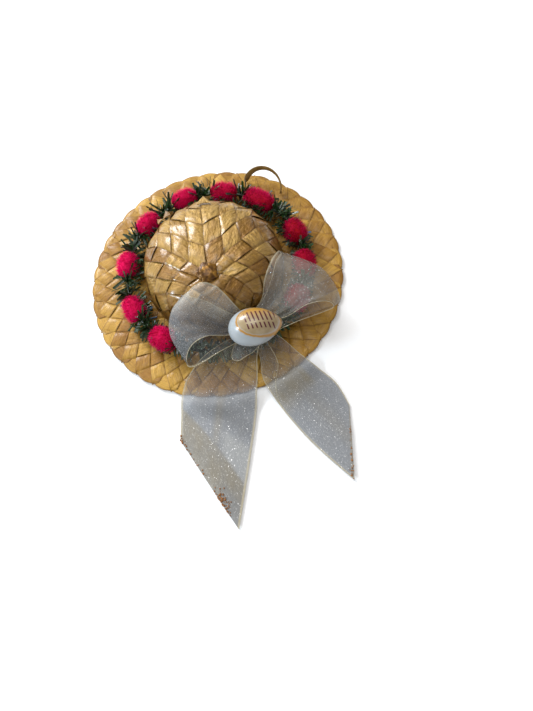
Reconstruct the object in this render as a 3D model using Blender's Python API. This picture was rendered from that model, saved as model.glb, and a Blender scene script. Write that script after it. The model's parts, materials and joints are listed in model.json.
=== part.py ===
"""Hat ornament: a small plaited straw hat lying on its brim.

A garland of tufts and green blades runs round the crown. A ribbon bow lies
over the front of it, with a cowrie shell on the knot, and a bent straw loop
for hanging stands at the back of the brim.
+Z is up, -Y is the front where the bow's tails lie, +X is to the right.
Lengths are metres, angles are degrees.
"""
import math
import random

import bmesh
import bpy
from mathutils import Matrix, Vector

MM = 0.001

# Hat
BRIM_DIAMETER = 100.0 * MM
SCALLOP_RISE = 0.7 * MM
CROWN_DIAMETER = 53.8 * MM
CROWN_HEIGHT = 20.2 * MM
CROWN_SHAPE = 3.2
CROWN_OFFSET_Y = 1.5 * MM
POLE_SHIFT_X = 0.9 * MM
POLE_SHIFT_Y = -11.9 * MM
STRAW_THICKNESS = 1.2 * MM
WEAVE_RELIEF = 0.45 * MM

# Plait: strips that meet at the crown's centre, rings of crossings, strips in the brim
ROSETTE_ARMS = 5
ROSETTE_RINGS = 4
CROWN_RINGS = 7
BRIM_RINGS = 8
CROWN_STRIPS = ROSETTE_ARMS * ROSETTE_RINGS
BRIM_STRIPS = 2 * CROWN_STRIPS

# Gap between pieces that touch
TOUCH_GAP = 0.3 * MM

# Garland
GARLAND_CENTRE = Vector((0.6 * MM, 0.2 * MM, 0.0))
GARLAND_SLACK = 0.4 * MM
STEM_DIAMETER = 1.2 * MM
STEM_SIDES = 6
TUFT_DIAMETER = 9.6 * MM
TUFT_LENGTH = 11.6 * MM
WIDE_TUFT_LENGTH = 15.0 * MM
TUFT_LENGTHS = (TUFT_LENGTH,) * 3 + (WIDE_TUFT_LENGTH,) + (TUFT_LENGTH,) * 6
TUFT_GAPS = (3.4 * MM, 3.1 * MM, 7.9 * MM, 2.0 * MM, 4.6 * MM, 6.6 * MM, 8.1 * MM, 8.1 * MM, 5.8 * MM)
FIRST_TUFT_AZIMUTH = -25.0
TUFT_BORE_GAP = 0.35 * MM
TUFT_LIP = 0.9 * MM
TUFT_SIDES = 10
TUFT_STATIONS = 6
BLADE_LENGTH = 8.0 * MM
BLADE_STEP = 1.15 * MM
BARE_STEM_STEP = 4.6 * MM
BLADE_SIDE_GAP = 0.5 * MM

# Bow
BOW_AZIMUTH = -59.5
BOW_INSET = 1.2 * MM
BOW_COVER = (-136.0, 20.0)
RIBBON_WIDTH = 25.4 * MM
RIBBON_THICKNESS = 0.45 * MM
KNOT_LENGTH = 10.5 * MM
KNOT_WIDTH = 8.6 * MM
KNOT_HEIGHT = 5.2 * MM
LOOP_PUFF = 6.4 * MM
RIGHT_FOLD_RISE = (0.2 * MM, 3.6 * MM)
LEFT_FOLD_RISE = (0.2 * MM, 9.6 * MM)
LEFT_LOOP_HOLLOW = 3.0 * MM
TAIL_RIPPLE = 0.5 * MM
DRAPE_START = 1.2 * MM
DRAPE_LANDING = 2.0 * MM
DRAPE_OVERHANG = 1.0 * MM
DRAPE_RUN = 8.0 * MM

# Cowrie shell
SHELL_LENGTH = 19.0 * MM
SHELL_WIDTH = 13.6 * MM
SHELL_HEIGHT = 8.6 * MM
SHELL_TURN = 9.0
SHELL_SET_FORWARD = 0.6 * MM
SHELL_SLIT_WIDTH = 0.9 * MM
SHELL_SLIT_DEPTH = 1.1 * MM

# Hanging loop
LOOP_AZIMUTH = 64.5
LOOP_SPAN = 16.4 * MM
LOOP_REACH = 7.8 * MM
LOOP_LEAN = 42.0
LOOP_STRIP_WIDTH = 1.7 * MM
LOOP_STRIP_THICKNESS = 0.6 * MM
LOOP_SET_BACK = 6.5 * MM

# Sizes that follow from the ones above
BRIM_RADIUS = BRIM_DIAMETER / 2
CROWN_RADIUS = CROWN_DIAMETER / 2
CROWN_CENTRE = Vector((0.0, CROWN_OFFSET_Y, 0.0))
WOVEN_TOP = STRAW_THICKNESS + WEAVE_RELIEF
TUFT_RADIUS = TUFT_DIAMETER / 2
STEM_RADIUS = STEM_DIAMETER / 2
GARLAND_RADIUS = (CROWN_RADIUS + WEAVE_RELIEF + TOUCH_GAP + TUFT_RADIUS
                  + (CROWN_CENTRE - GARLAND_CENTRE).length + GARLAND_SLACK)
GARLAND_Z = WOVEN_TOP + TOUCH_GAP + TUFT_RADIUS
TUFT_TOP = GARLAND_Z + TUFT_RADIUS
KNOT_Z = GARLAND_Z + STEM_RADIUS + TOUCH_GAP + KNOT_HEIGHT / 2


def degrees_vector(azimuth, radius=1.0):
    """A level vector of the given length that points along an azimuth."""
    angle = math.radians(azimuth)
    return Vector((radius * math.cos(angle), radius * math.sin(angle), 0.0))


def ease(value):
    """0 to 1 with a soft start and a soft end."""
    value = min(max(value, 0.0), 1.0)
    return value * value * (3.0 - 2.0 * value)


def make_material(name, colour, roughness, metallic=0.0):
    material = bpy.data.materials.new(name)
    material.use_nodes = True
    shader = material.node_tree.nodes["Principled BSDF"]
    shader.inputs["Base Color"].default_value = (*colour, 1.0)
    shader.inputs["Roughness"].default_value = roughness
    shader.inputs["Metallic"].default_value = metallic
    return material


def make_object(name, mesh_data, material, parent):
    """Turn a bmesh into a named object with one material."""
    bmesh.ops.recalc_face_normals(mesh_data, faces=mesh_data.faces)
    mesh = bpy.data.meshes.new(name)
    mesh_data.to_mesh(mesh)
    mesh_data.free()
    mesh.materials.append(material)
    thing = bpy.data.objects.new(name, mesh)
    bpy.context.scene.collection.objects.link(thing)
    thing.parent = parent
    return thing


def crown_profile(steps=240):
    """Distance along the crown's section from its top, with the radius and the height there."""
    rows = [(0.0, 0.0, CROWN_HEIGHT)]
    for step in range(1, steps + 1):
        angle = 0.5 * math.pi * step / steps
        radius = CROWN_RADIUS * math.sin(angle) ** (2.0 / CROWN_SHAPE)
        height = CROWN_HEIGHT * max(math.cos(angle), 0.0) ** (2.0 / CROWN_SHAPE)
        gone = math.hypot(radius - rows[-1][1], height - rows[-1][2])
        rows.append((rows[-1][0] + gone, radius, height))
    return rows


CROWN_PROFILE = crown_profile()


def crown_point(share, azimuth):
    """A point on the crown's outside, at a share of the way from the plait's centre to the brim."""
    distance = share * CROWN_PROFILE[-1][0]
    for before, after in zip(CROWN_PROFILE, CROWN_PROFILE[1:]):
        if after[0] >= distance:
            break
    mix = min((distance - before[0]) / (after[0] - before[0]), 1.0)
    radius = before[1] + mix * (after[1] - before[1])
    height = before[2] + mix * (after[2] - before[2])
    shift = max(1.0 - radius / CROWN_RADIUS, 0.0) ** 1.5
    pole = Vector((POLE_SHIFT_X, POLE_SHIFT_Y, 0.0))
    foot = CROWN_CENTRE + pole * shift + degrees_vector(azimuth, radius)
    return foot + Vector((0.0, 0.0, STRAW_THICKNESS + height))


def crown_normal(share, azimuth):
    """The crown's outward direction at a point."""
    if share <= 0.0:
        return Vector((0.0, 0.0, 1.0))
    small = 0.004
    down = crown_point(min(share + small, 1.0), azimuth) - crown_point(share - small, azimuth)
    along = crown_point(share, azimuth + 1.0) - crown_point(share, azimuth - 1.0)
    return down.cross(along).normalized()


class PlaitedSheet:
    """A shell of plaited straw: each crossing is a raised diamond on a plain lower side."""

    def __init__(self):
        self.mesh = bmesh.new()

    def add_point(self, place, outward):
        """A lattice point: its vertex on the outside, its vertex on the inside, its direction."""
        top = self.mesh.verts.new(place)
        below = self.mesh.verts.new(place - outward * STRAW_THICKNESS)
        return top, below, outward

    def add_inside(self, corners):
        self.mesh.faces.new([corner[1] for corner in reversed(corners)])

    def add_crossing(self, first, second, third, fourth):
        """The strip on top runs from edge fourth-first to edge second-third and is high half way."""
        mids = []
        for start, end in ((first, second), (fourth, third)):
            lift = (start[2] + end[2]).normalized() * WEAVE_RELIEF
            middle = (start[0].co + end[0].co) / 2 + lift
            mids.append(self.mesh.verts.new(middle))
        near, far = mids
        self.mesh.faces.new((first[0], near, far, fourth[0]))
        self.mesh.faces.new((near, second[0], third[0], far))
        self.mesh.faces.new((first[0], second[0], near))
        self.mesh.faces.new((third[0], fourth[0], far))
        self.add_inside((first, second, third, fourth))

    def add_diamond(self, ring, top, left, bottom, right):
        """Rows of crossings slant one way on even rings and the other way on odd ones."""
        if ring % 2 == 0:
            self.add_crossing(top, left, bottom, right)
        else:
            self.add_crossing(left, bottom, right, top)

    def add_plain(self, corners):
        self.mesh.faces.new([corner[0] for corner in corners])
        self.add_inside(corners)


def crown_rings(sheet):
    """Lattice points of the crown, ring by ring: the rosette, then rings of equal count."""
    rings = [[sheet.add_point(crown_point(0.0, 0.0), crown_normal(0.0, 0.0))]]
    for ring in range(1, CROWN_RINGS):
        count = ROSETTE_ARMS * min(ring, ROSETTE_RINGS)
        turn = 0.5 * max(ring - ROSETTE_RINGS, 0)
        share = ring / CROWN_RINGS
        row = []
        for index in range(count):
            azimuth = 360.0 * (index + turn) / count
            row.append(sheet.add_point(crown_point(share, azimuth), crown_normal(share, azimuth)))
        rings.append(row)
    return rings


def brim_rings(sheet):
    """Lattice points of the brim. The first ring is the corner where the crown's wall meets it."""
    rings = []
    turn_at_corner = 0.5 * (CROWN_RINGS - ROSETTE_RINGS)
    for ring in range(BRIM_RINGS + 1):
        share = ring / BRIM_RINGS
        valley = BRIM_RADIUS - SCALLOP_RISE
        radius = CROWN_RADIUS * (valley / CROWN_RADIUS) ** share
        centre = CROWN_CENTRE * (1.0 - share)
        row = []
        for index in range(BRIM_STRIPS):
            azimuth = 360.0 * ((index + 0.5 * ring) / BRIM_STRIPS + turn_at_corner / CROWN_STRIPS)
            outward = Vector((0.0, 0.0, 1.0))
            if ring == 0:
                outward = outward + degrees_vector(azimuth)
            place = centre + degrees_vector(azimuth, radius)
            row.append(sheet.add_point(place + Vector((0.0, 0.0, STRAW_THICKNESS)), outward))
        rings.append(row)
    return rings


def fill_crown(sheet, rings, corner):
    """Crossings of the crown, down to plain half diamonds at the corner with the brim."""
    def pick(ring, index):
        row = rings[ring] if ring < CROWN_RINGS else corner[::2]
        return row[index % len(row)]

    for ring in range(CROWN_RINGS - 1):
        if ring < ROSETTE_RINGS:
            for arm in range(ROSETTE_ARMS):
                for step in range(ring + 1):
                    left = arm * (ring + 1) + step
                    below = arm * (ring + 2) + step + 1
                    if ring == ROSETTE_RINGS - 1:
                        below = left
                    sheet.add_diamond(ring, pick(ring, arm * ring + step), pick(ring + 1, left),
                                      pick(ring + 2, below), pick(ring + 1, left + 1))
        else:
            for index in range(CROWN_STRIPS):
                sheet.add_diamond(ring, pick(ring, index), pick(ring + 1, index - 1),
                                  pick(ring + 2, index - 1), pick(ring + 1, index))
    for index in range(CROWN_STRIPS):
        middle = corner[(2 * index - 1) % BRIM_STRIPS]
        left = pick(CROWN_RINGS, index - 1)
        sheet.add_plain((pick(CROWN_RINGS - 1, index), left, middle, pick(CROWN_RINGS, index)))


def fill_brim(sheet, rings):
    """Crossings of the brim, between plain half diamonds at the corner and the folded edge."""
    def pick(ring, index):
        return rings[ring][index % BRIM_STRIPS]

    for index in range(BRIM_STRIPS):
        sheet.add_plain((pick(0, index), pick(1, index), pick(0, index + 1)))
    for ring in range(BRIM_RINGS - 1):
        for index in range(BRIM_STRIPS):
            sheet.add_diamond(ring + CROWN_RINGS, pick(ring, index), pick(ring + 1, index - 1),
                              pick(ring + 2, index - 1), pick(ring + 1, index))


def fill_edge(sheet, rings):
    """Each strip folds back at the edge and pushes the outline out half way along its fold."""
    last = rings[BRIM_RINGS]
    inner = rings[BRIM_RINGS - 1]
    for index in range(BRIM_STRIPS):
        left = last[index - 1]
        right = last[index]
        tip = inner[index]
        middle = (left[0].co + right[0].co) / 2
        out = Vector((middle.x, middle.y, 0.0)).normalized() * BRIM_RADIUS
        upper = sheet.mesh.verts.new(out + Vector((0.0, 0.0, WOVEN_TOP)))
        lower = sheet.mesh.verts.new(out)
        sheet.mesh.faces.new((tip[0], left[0], upper))
        sheet.mesh.faces.new((tip[0], upper, right[0]))
        sheet.mesh.faces.new((tip[1], lower, left[1]))
        sheet.mesh.faces.new((tip[1], right[1], lower))
        sheet.mesh.faces.new((left[0], left[1], lower, upper))
        sheet.mesh.faces.new((upper, lower, right[1], right[0]))


def make_hat(parent):
    straw = make_material("golden_straw", (0.52, 0.32, 0.11), 0.42)
    sheet = PlaitedSheet()
    crown = crown_rings(sheet)
    brim = brim_rings(sheet)
    fill_crown(sheet, crown, brim[0])
    fill_brim(sheet, brim)
    fill_edge(sheet, brim)
    return make_object("woven_hat", sheet.mesh, straw, parent)


def garland_frame(azimuth):
    """A point of the garland's ring, with its outward, upward and forward directions."""
    outward = degrees_vector(azimuth)
    place = GARLAND_CENTRE + outward * GARLAND_RADIUS + Vector((0.0, 0.0, GARLAND_Z))
    upward = Vector((0.0, 0.0, 1.0))
    return place, outward, upward, upward.cross(outward)


def arc_degrees(length):
    """The angle that a length takes up along the garland's ring."""
    return math.degrees(length / GARLAND_RADIUS)


def tuft_places():
    """Azimuth and length of each tuft, set along the stem with the clear gaps between them."""
    places = [(FIRST_TUFT_AZIMUTH, TUFT_LENGTHS[0])]
    for gap, before, after in zip(TUFT_GAPS, TUFT_LENGTHS, TUFT_LENGTHS[1:]):
        places.append((places[-1][0] + arc_degrees((before + after) / 2 + gap), after))
    return places


def tuft_loop(mesh_data, azimuth, radius, fluffy):
    """One ring of points round the stem. A fluffy one is fluted like parted fibres."""
    place, outward, upward, forward = garland_frame(azimuth)
    loop = []
    for side in range(TUFT_SIDES):
        angle = 2.0 * math.pi * side / TUFT_SIDES
        reach = radius * (0.9 if fluffy and side % 2 else 1.0)
        spot = place + outward * (reach * math.cos(angle)) + upward * (reach * math.sin(angle))
        loop.append(mesh_data.verts.new(spot))
    return loop


def bridge(mesh_data, first, second):
    count = len(first)
    for index in range(count):
        following = (index + 1) % count
        mesh_data.faces.new((first[index], first[following], second[following], second[index]))


def make_tuft(number, azimuth, length, material, parent):
    """A soft barrel bent along the ring, with a bore that the stem passes through."""
    mesh_data = bmesh.new()
    half = arc_degrees(length) / 2
    bore = STEM_RADIUS + TUFT_BORE_GAP
    loops = []
    for station in range(TUFT_STATIONS):
        along = -1.0 + 2.0 * station / (TUFT_STATIONS - 1)
        swell = (1.0 - abs(along) ** 2.6) ** 0.5
        radius = bore + TUFT_LIP + (TUFT_RADIUS - bore - TUFT_LIP) * swell
        loops.append(tuft_loop(mesh_data, azimuth + along * half, radius, swell > 0.3))
    for along in (1.0, 0.0, -1.0):
        loops.append(tuft_loop(mesh_data, azimuth + along * half, bore, False))
    for first, second in zip(loops, loops[1:] + loops[:1]):
        bridge(mesh_data, first, second)
    return make_object("tuft_%02d" % number, mesh_data, material, parent)


def make_tufts(parent):
    pink = make_material("pink_chenille", (0.62, 0.02, 0.12), 0.9)
    for number, (azimuth, length) in enumerate(tuft_places(), start=1):
        make_tuft(number, azimuth, length, pink, parent)


def stem_stations():
    """Azimuths of the stem's rings of points, close together where the blades grow."""
    stations = []
    tufts = tuft_places()
    tufts.append((tufts[0][0] + 360.0, tufts[0][1]))
    for (azimuth, length), (following, next_length) in zip(tufts, tufts[1:]):
        half = arc_degrees(length / 2 + BLADE_SIDE_GAP)
        next_half = arc_degrees(next_length / 2 + BLADE_SIDE_GAP)
        covered = max(2, round(2 * half / arc_degrees(BARE_STEM_STEP)))
        for step in range(covered):
            stations.append((azimuth - half + 2 * half * step / covered, False))
        start = azimuth + half
        open_arc = following - next_half - start
        bare = open_arc > arc_degrees(6 * BARE_STEM_STEP)
        wanted = BARE_STEM_STEP if bare else BLADE_STEP
        steps = max(1, round(open_arc / arc_degrees(wanted)))
        for step in range(steps):
            stations.append((start + open_arc * step / steps, not bare))
    return stations


def blade_directions(count):
    """Which sides of the stem carry blades, in turn, so that they stand out all round."""
    pairs = ((0, 2), (1, 5), (0, 2), (1, 2), (5, 1))
    return pairs[count % len(pairs)]


def grow_blade(mesh_data, face, azimuth, side, dice):
    """Draw one face of the stem out into a thin flat blade."""
    place, outward, upward, forward = garland_frame(azimuth)
    angle = 2.0 * math.pi * (side + 0.5) / STEM_SIDES + math.radians(dice.uniform(-14.0, 14.0))
    heading = outward * math.cos(angle) + upward * math.sin(angle)
    length = BLADE_LENGTH * dice.uniform(0.72, 1.1)
    floor = TUFT_RADIUS * 0.9
    ceiling = length
    if BOW_COVER[0] < (azimuth + 180.0) % 360.0 - 180.0 < BOW_COVER[1]:
        ceiling = TUFT_RADIUS * 0.82
    if heading.z > 0.0:
        length = min(length, ceiling / max(heading.z, 0.2))
    else:
        length = min(length, floor / max(-heading.z, 0.2))
    if heading.dot(outward) < 0.0:
        length = min(length, 0.75 * TUFT_RADIUS / -heading.dot(outward))
    grown = bmesh.ops.extrude_discrete_faces(mesh_data, faces=[face])["faces"][0]
    centre = grown.calc_center_median()
    for vertex in grown.verts:
        offset = vertex.co - centre
        along_stem = forward * offset.dot(forward)
        vertex.co = centre + along_stem * 0.72 + (offset - along_stem) * 0.5 + heading * length


def make_greenery(parent):
    """The stem as a closed ring of round section, with blades drawn out between the tufts."""
    green = make_material("dark_green_foil", (0.012, 0.05, 0.018), 0.5)
    mesh_data = bmesh.new()
    dice = random.Random(11)
    stations = stem_stations()
    loops = []
    for azimuth, leafy in stations:
        place, outward, upward, forward = garland_frame(azimuth)
        loop = []
        for side in range(STEM_SIDES):
            angle = 2.0 * math.pi * side / STEM_SIDES
            offset = outward * math.cos(angle) + upward * math.sin(angle)
            loop.append(mesh_data.verts.new(place + offset * STEM_RADIUS))
        loops.append(loop)
    count = len(stations)
    leafy_count = 0
    for index in range(count):
        following = (index + 1) % count
        azimuth, leafy = stations[index]
        next_azimuth = stations[following][0] + (360.0 if following == 0 else 0.0)
        chosen = ()
        if leafy:
            chosen = blade_directions(leafy_count)
            leafy_count += 1
        for side in range(STEM_SIDES):
            ahead = (side + 1) % STEM_SIDES
            face = mesh_data.faces.new((loops[index][side], loops[index][ahead],
                                        loops[following][ahead], loops[following][side]))
            if side in chosen:
                grow_blade(mesh_data, face, (azimuth + next_azimuth) / 2, side, dice)
    return make_object("garland_greenery", mesh_data, green, parent)


def bow_centre():
    level = GARLAND_CENTRE + degrees_vector(BOW_AZIMUTH, GARLAND_RADIUS - BOW_INSET)
    return level + Vector((0.0, 0.0, KNOT_Z))


def smooth_line(points, share):
    """A point on a smooth curve through the given points, share running from 0 to 1."""
    spans = len(points) - 1
    position = min(max(share, 0.0), 1.0) * spans
    index = min(int(position), spans - 1)
    mix = position - index
    before = points[max(index - 1, 0)]
    start = points[index]
    end = points[index + 1]
    after = points[min(index + 2, spans)]
    return 0.5 * (2.0 * start + (end - before) * mix
                  + (2.0 * before - 5.0 * start + 4.0 * end - after) * mix ** 2
                  + (3.0 * start - before - 3.0 * end + after) * mix ** 3)


def ribbon_sheet(name, place_at, lengthwise, crosswise):
    """A strip of ribbon as a grid of points, given its thickness by a Solidify modifier."""
    mesh_data = bmesh.new()
    grid = []
    for row in range(lengthwise + 1):
        line = []
        for column in range(crosswise + 1):
            line.append(mesh_data.verts.new(place_at(row / lengthwise, column / crosswise)))
        grid.append(line)
    for row in range(lengthwise):
        for column in range(crosswise):
            mesh_data.faces.new((grid[row][column], grid[row + 1][column],
                                 grid[row + 1][column + 1], grid[row][column + 1]))
    bmesh.ops.triangulate(mesh_data, faces=mesh_data.faces[:])
    mesh = bpy.data.meshes.new(name)
    mesh_data.to_mesh(mesh)
    mesh_data.free()
    strip = bpy.data.objects.new(name, mesh)
    bpy.context.scene.collection.objects.link(strip)
    thick = strip.modifiers.new("Thickness", "SOLIDIFY")
    thick.thickness = RIBBON_THICKNESS
    thick.offset = 0.0
    strip.hide_render = True
    strip.display_type = "WIRE"
    return strip


def loop_strip(name, fold, knot_spread, fold_rise, puff, hollow):
    """One loop of the bow: out over the top, round the fold and back to the knot below.

    fold lists level points of the fold as shares of the ribbon's width from the knot,
    from its front end to its back end. fold_rise gives the height of both ends over the tufts,
    puff the rise of the upper layer at both ends, and hollow how far the back edge curves forward.
    """
    knot = bow_centre()
    line = [Vector((x, y, 0.0)) * RIBBON_WIDTH for x, y in fold]
    rest = TUFT_TOP + TOUCH_GAP + RIBBON_THICKNESS

    def place_at(along, across):
        reach = math.sin(math.pi * along) ** 0.9
        wave = math.sin(2.0 * math.pi * along)
        spread = (knot_spread[1] - knot_spread[0]) * across + knot_spread[0]
        level = Vector((knot.x, knot.y, 0.0)) + spread * (1.0 - reach) + smooth_line(line, across) * reach
        level.y -= hollow * across * math.sin(math.pi * min(reach, 1.0))
        fold_height = rest + fold_rise[0] + (fold_rise[1] - fold_rise[0]) * across
        past_shell = ease((reach - 0.3) / 0.6)
        if along < 0.5:
            start_height = knot.z + 0.33 * KNOT_HEIGHT
            height = start_height + (fold_height - start_height) * past_shell
            height += (puff[0] + (puff[1] - puff[0]) * across) * wave * ease((reach - 0.25) / 0.4)
        else:
            start_height = knot.z - 0.10 * KNOT_HEIGHT
            height = start_height + (rest - start_height) * ease(reach / 0.6)
            height += (fold_height - rest) * past_shell ** 1.3
        return level + Vector((0.0, 0.0, height))

    return ribbon_sheet(name, place_at, 12, 4)


def drape_height(place):
    """Height of a ribbon's middle as it leaves the knot, crosses the brim and meets the table."""
    distance = Vector((place.x, place.y, 0.0)).length
    half = RIBBON_THICKNESS / 2
    knot_height = KNOT_Z - 0.25 * KNOT_HEIGHT
    brim_height = WOVEN_TOP + TOUCH_GAP + half
    table_height = TOUCH_GAP / 2 + half
    leaving = GARLAND_RADIUS + DRAPE_START
    fall = ease((distance - leaving) / (BRIM_RADIUS - DRAPE_LANDING - leaving))
    drop = ease((distance - BRIM_RADIUS - DRAPE_OVERHANG) / DRAPE_RUN)
    return knot_height + (brim_height - knot_height) * fall + (table_height - brim_height) * drop


def tail_strip(name, left, right):
    """One tail, between its left and right edges, as shares of the ribbon's width from the knot."""
    knot = bow_centre()
    start = Vector((knot.x, knot.y, 0.0))
    left_line = [start + Vector((x, y, 0.0)) * RIBBON_WIDTH for x, y in left]
    right_line = [start + Vector((x, y, 0.0)) * RIBBON_WIDTH for x, y in right]

    def place_at(along, across):
        level = smooth_line(left_line, along) * (1.0 - across) + smooth_line(right_line, along) * across
        lift = TAIL_RIPPLE * math.sin(math.pi * across) * ease(along * 3.0)
        return level + Vector((0.0, 0.0, drape_height(level) + lift))

    return ribbon_sheet(name, place_at, 12, 3)


def make_knot(name):
    mesh_data = bmesh.new()
    turn = Matrix.Rotation(math.radians(SHELL_TURN), 4, "Z")
    size = Matrix.Diagonal((KNOT_LENGTH / 2, KNOT_WIDTH / 2, KNOT_HEIGHT / 2, 1.0))
    place = Matrix.Translation(bow_centre())
    bmesh.ops.create_uvsphere(mesh_data, u_segments=12, v_segments=8, radius=1.0, matrix=place @ turn @ size)
    mesh = bpy.data.meshes.new(name)
    mesh_data.to_mesh(mesh)
    mesh_data.free()
    return mesh


def make_bow(parent):
    """Knot, loops and tails of one ribbon, joined into one body."""
    silver = make_material("silver_organza", (0.62, 0.63, 0.64), 0.35, 0.3)
    bow = bpy.data.objects.new("ribbon_bow", make_knot("ribbon_bow"))
    bpy.context.scene.collection.objects.link(bow)
    bow.data.materials.append(silver)
    near_right = Vector((0.21 * KNOT_LENGTH, -0.23 * KNOT_WIDTH, 0.0))
    near_left = Vector((-near_right.x, near_right.y, 0.0))
    far = Vector((0.0, 0.28 * KNOT_WIDTH, 0.0))
    strips = [
        loop_strip("right_loop", ((1.08, 0.28), (1.17, 0.42), (0.94, 0.82), (0.36, 1.09)),
                   (near_right, far), RIGHT_FOLD_RISE, (LOOP_PUFF, LOOP_PUFF), 0.0),
        loop_strip("left_loop", ((-0.97, -0.44), (-1.19, -0.12), (-1.13, 0.14), (-0.74, 0.43)),
                   (near_left, far), LEFT_FOLD_RISE, (LOOP_PUFF, 0.4 * LOOP_PUFF), LEFT_LOOP_HOLLOW),
        tail_strip("left_tail",
                   ((-0.10, 0.0), (-0.50, -0.16), (-0.93, -0.50), (-1.09, -0.78), (-1.10, -1.46)),
                   ((0.12, 0.0), (0.0, -0.28), (-0.02, -0.60), (-0.06, -1.26), (-0.26, -2.64))),
        tail_strip("right_tail",
                   ((-0.12, 0.0), (0.02, -0.32), (0.10, -0.70), (0.64, -1.42), (1.27, -2.02)),
                   ((0.12, 0.05), (0.42, -0.12), (0.75, -0.38), (1.08, -0.66), (1.26, -1.0))),
    ]
    for strip in strips:
        join = bow.modifiers.new("Join " + strip.name, "BOOLEAN")
        join.operation = "UNION"
        join.solver = "EXACT"
        join.object = strip
    bow.parent = parent
    for strip in strips:
        strip.parent = parent
    return bow


def make_shell(parent):
    """A cowrie: an egg with one blunt end, a flattened base and a slit along it."""
    glaze = make_material("cream_shell", (0.86, 0.80, 0.70), 0.18)
    mesh_data = bmesh.new()
    bmesh.ops.create_uvsphere(mesh_data, u_segments=20, v_segments=12, radius=1.0)
    base = 0.22 * SHELL_HEIGHT
    for vertex in mesh_data.verts:
        x, y, z = vertex.co
        taper = 1.0 - 0.16 * x - 0.10 * max(x, 0.0) ** 3
        rise = (SHELL_HEIGHT - base) if z > 0.0 else base
        vertex.co = (x * SHELL_LENGTH / 2, y * taper * SHELL_WIDTH / 2, z * rise * (1.0 - 0.08 * x))
    shell = make_object("cowrie_shell", mesh_data, glaze, parent)
    shell.data.shade_smooth()
    cutter_data = bmesh.new()
    bmesh.ops.create_cube(cutter_data, size=1.0)
    cutter = make_object("slit_cutter", cutter_data, glaze, parent)
    cutter.scale = (0.86 * SHELL_LENGTH, SHELL_SLIT_WIDTH, 2 * SHELL_SLIT_DEPTH)
    cutter.hide_render = True
    cutter.display_type = "WIRE"
    knot = bow_centre()
    foot = KNOT_Z + KNOT_HEIGHT / 2 + TOUCH_GAP
    shell.location = (knot.x, knot.y - SHELL_SET_FORWARD, foot + base)
    shell.rotation_euler = (0.0, 0.0, math.radians(SHELL_TURN))
    cutter.location = (knot.x, knot.y - SHELL_SET_FORWARD, foot)
    cutter.rotation_euler = shell.rotation_euler
    slit = shell.modifiers.new("Slit", "BOOLEAN")
    slit.operation = "DIFFERENCE"
    slit.solver = "EXACT"
    slit.object = cutter
    return shell


def make_hanging_loop(parent):
    """A strip of straw bent into an arch that leans out over the back edge of the brim."""
    straw = make_material("loop_straw", (0.42, 0.27, 0.10), 0.4)
    mesh_data = bmesh.new()
    outward = degrees_vector(LOOP_AZIMUTH)
    sideways = Vector((0.0, 0.0, 1.0)).cross(outward)
    lean = math.radians(LOOP_LEAN)
    rising = outward * math.cos(lean) + Vector((0.0, 0.0, math.sin(lean)))
    across = sideways.cross(rising).normalized()
    foot_height = WOVEN_TOP + TOUCH_GAP + LOOP_STRIP_WIDTH / 2
    foot = outward * (BRIM_RADIUS - LOOP_SET_BACK) + Vector((0.0, 0.0, foot_height))
    steps = 14
    loops = []
    for step in range(steps + 1):
        angle = math.pi * step / steps
        inward = -(sideways * math.cos(angle) + rising * math.sin(angle))
        spot = foot + sideways * (LOOP_SPAN / 2 * math.cos(angle)) + rising * (LOOP_REACH * math.sin(angle))
        loop = []
        for wide, thick in ((-1, 0), (1, 0), (1, 1), (-1, 1)):
            edge = across * (wide * LOOP_STRIP_WIDTH / 2) + inward * (thick * LOOP_STRIP_THICKNESS)
            loop.append(mesh_data.verts.new(spot + edge))
        loops.append(loop)
    for first, second in zip(loops, loops[1:]):
        bridge(mesh_data, first, second)
    mesh_data.faces.new(loops[0])
    mesh_data.faces.new(loops[-1])
    return make_object("hanging_loop", mesh_data, straw, parent)


def centre_on_footprint(root):
    """Stand the ornament on its brim with the middle of its outline over the origin."""
    bpy.context.view_layer.update()
    graph = bpy.context.evaluated_depsgraph_get()
    corners = []
    for thing in bpy.context.scene.objects:
        if thing.type == "MESH" and not thing.hide_render:
            shape = thing.evaluated_get(graph)
            corners.extend(shape.matrix_world @ vertex.co for vertex in shape.data.vertices)
    low = [min(corner[axis] for corner in corners) for axis in range(3)]
    high = [max(corner[axis] for corner in corners) for axis in range(3)]
    root.location = (-(low[0] + high[0]) / 2, -(low[1] + high[1]) / 2, -low[2])
    bpy.context.view_layer.update()


def main():
    for thing in list(bpy.data.objects):
        bpy.data.objects.remove(thing, do_unlink=True)
    root = bpy.data.objects.new("ornament", None)
    bpy.context.scene.collection.objects.link(root)
    make_hat(root)
    make_greenery(root)
    make_tufts(root)
    make_bow(root)
    make_shell(root)
    make_hanging_loop(root)
    centre_on_footprint(root)


main()
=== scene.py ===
"""Looks of the hat ornament: plaited straw, tufted garland, organza bow, cowrie and straw loop.

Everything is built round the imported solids. Lengths are metres, angles are degrees,
the hat lies on its brim at z = 0 and its bow's tails point to -Y.
"""
import json
import math
import random

import bmesh
import bpy
import numpy as np
from mathutils import Matrix, Vector

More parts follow.
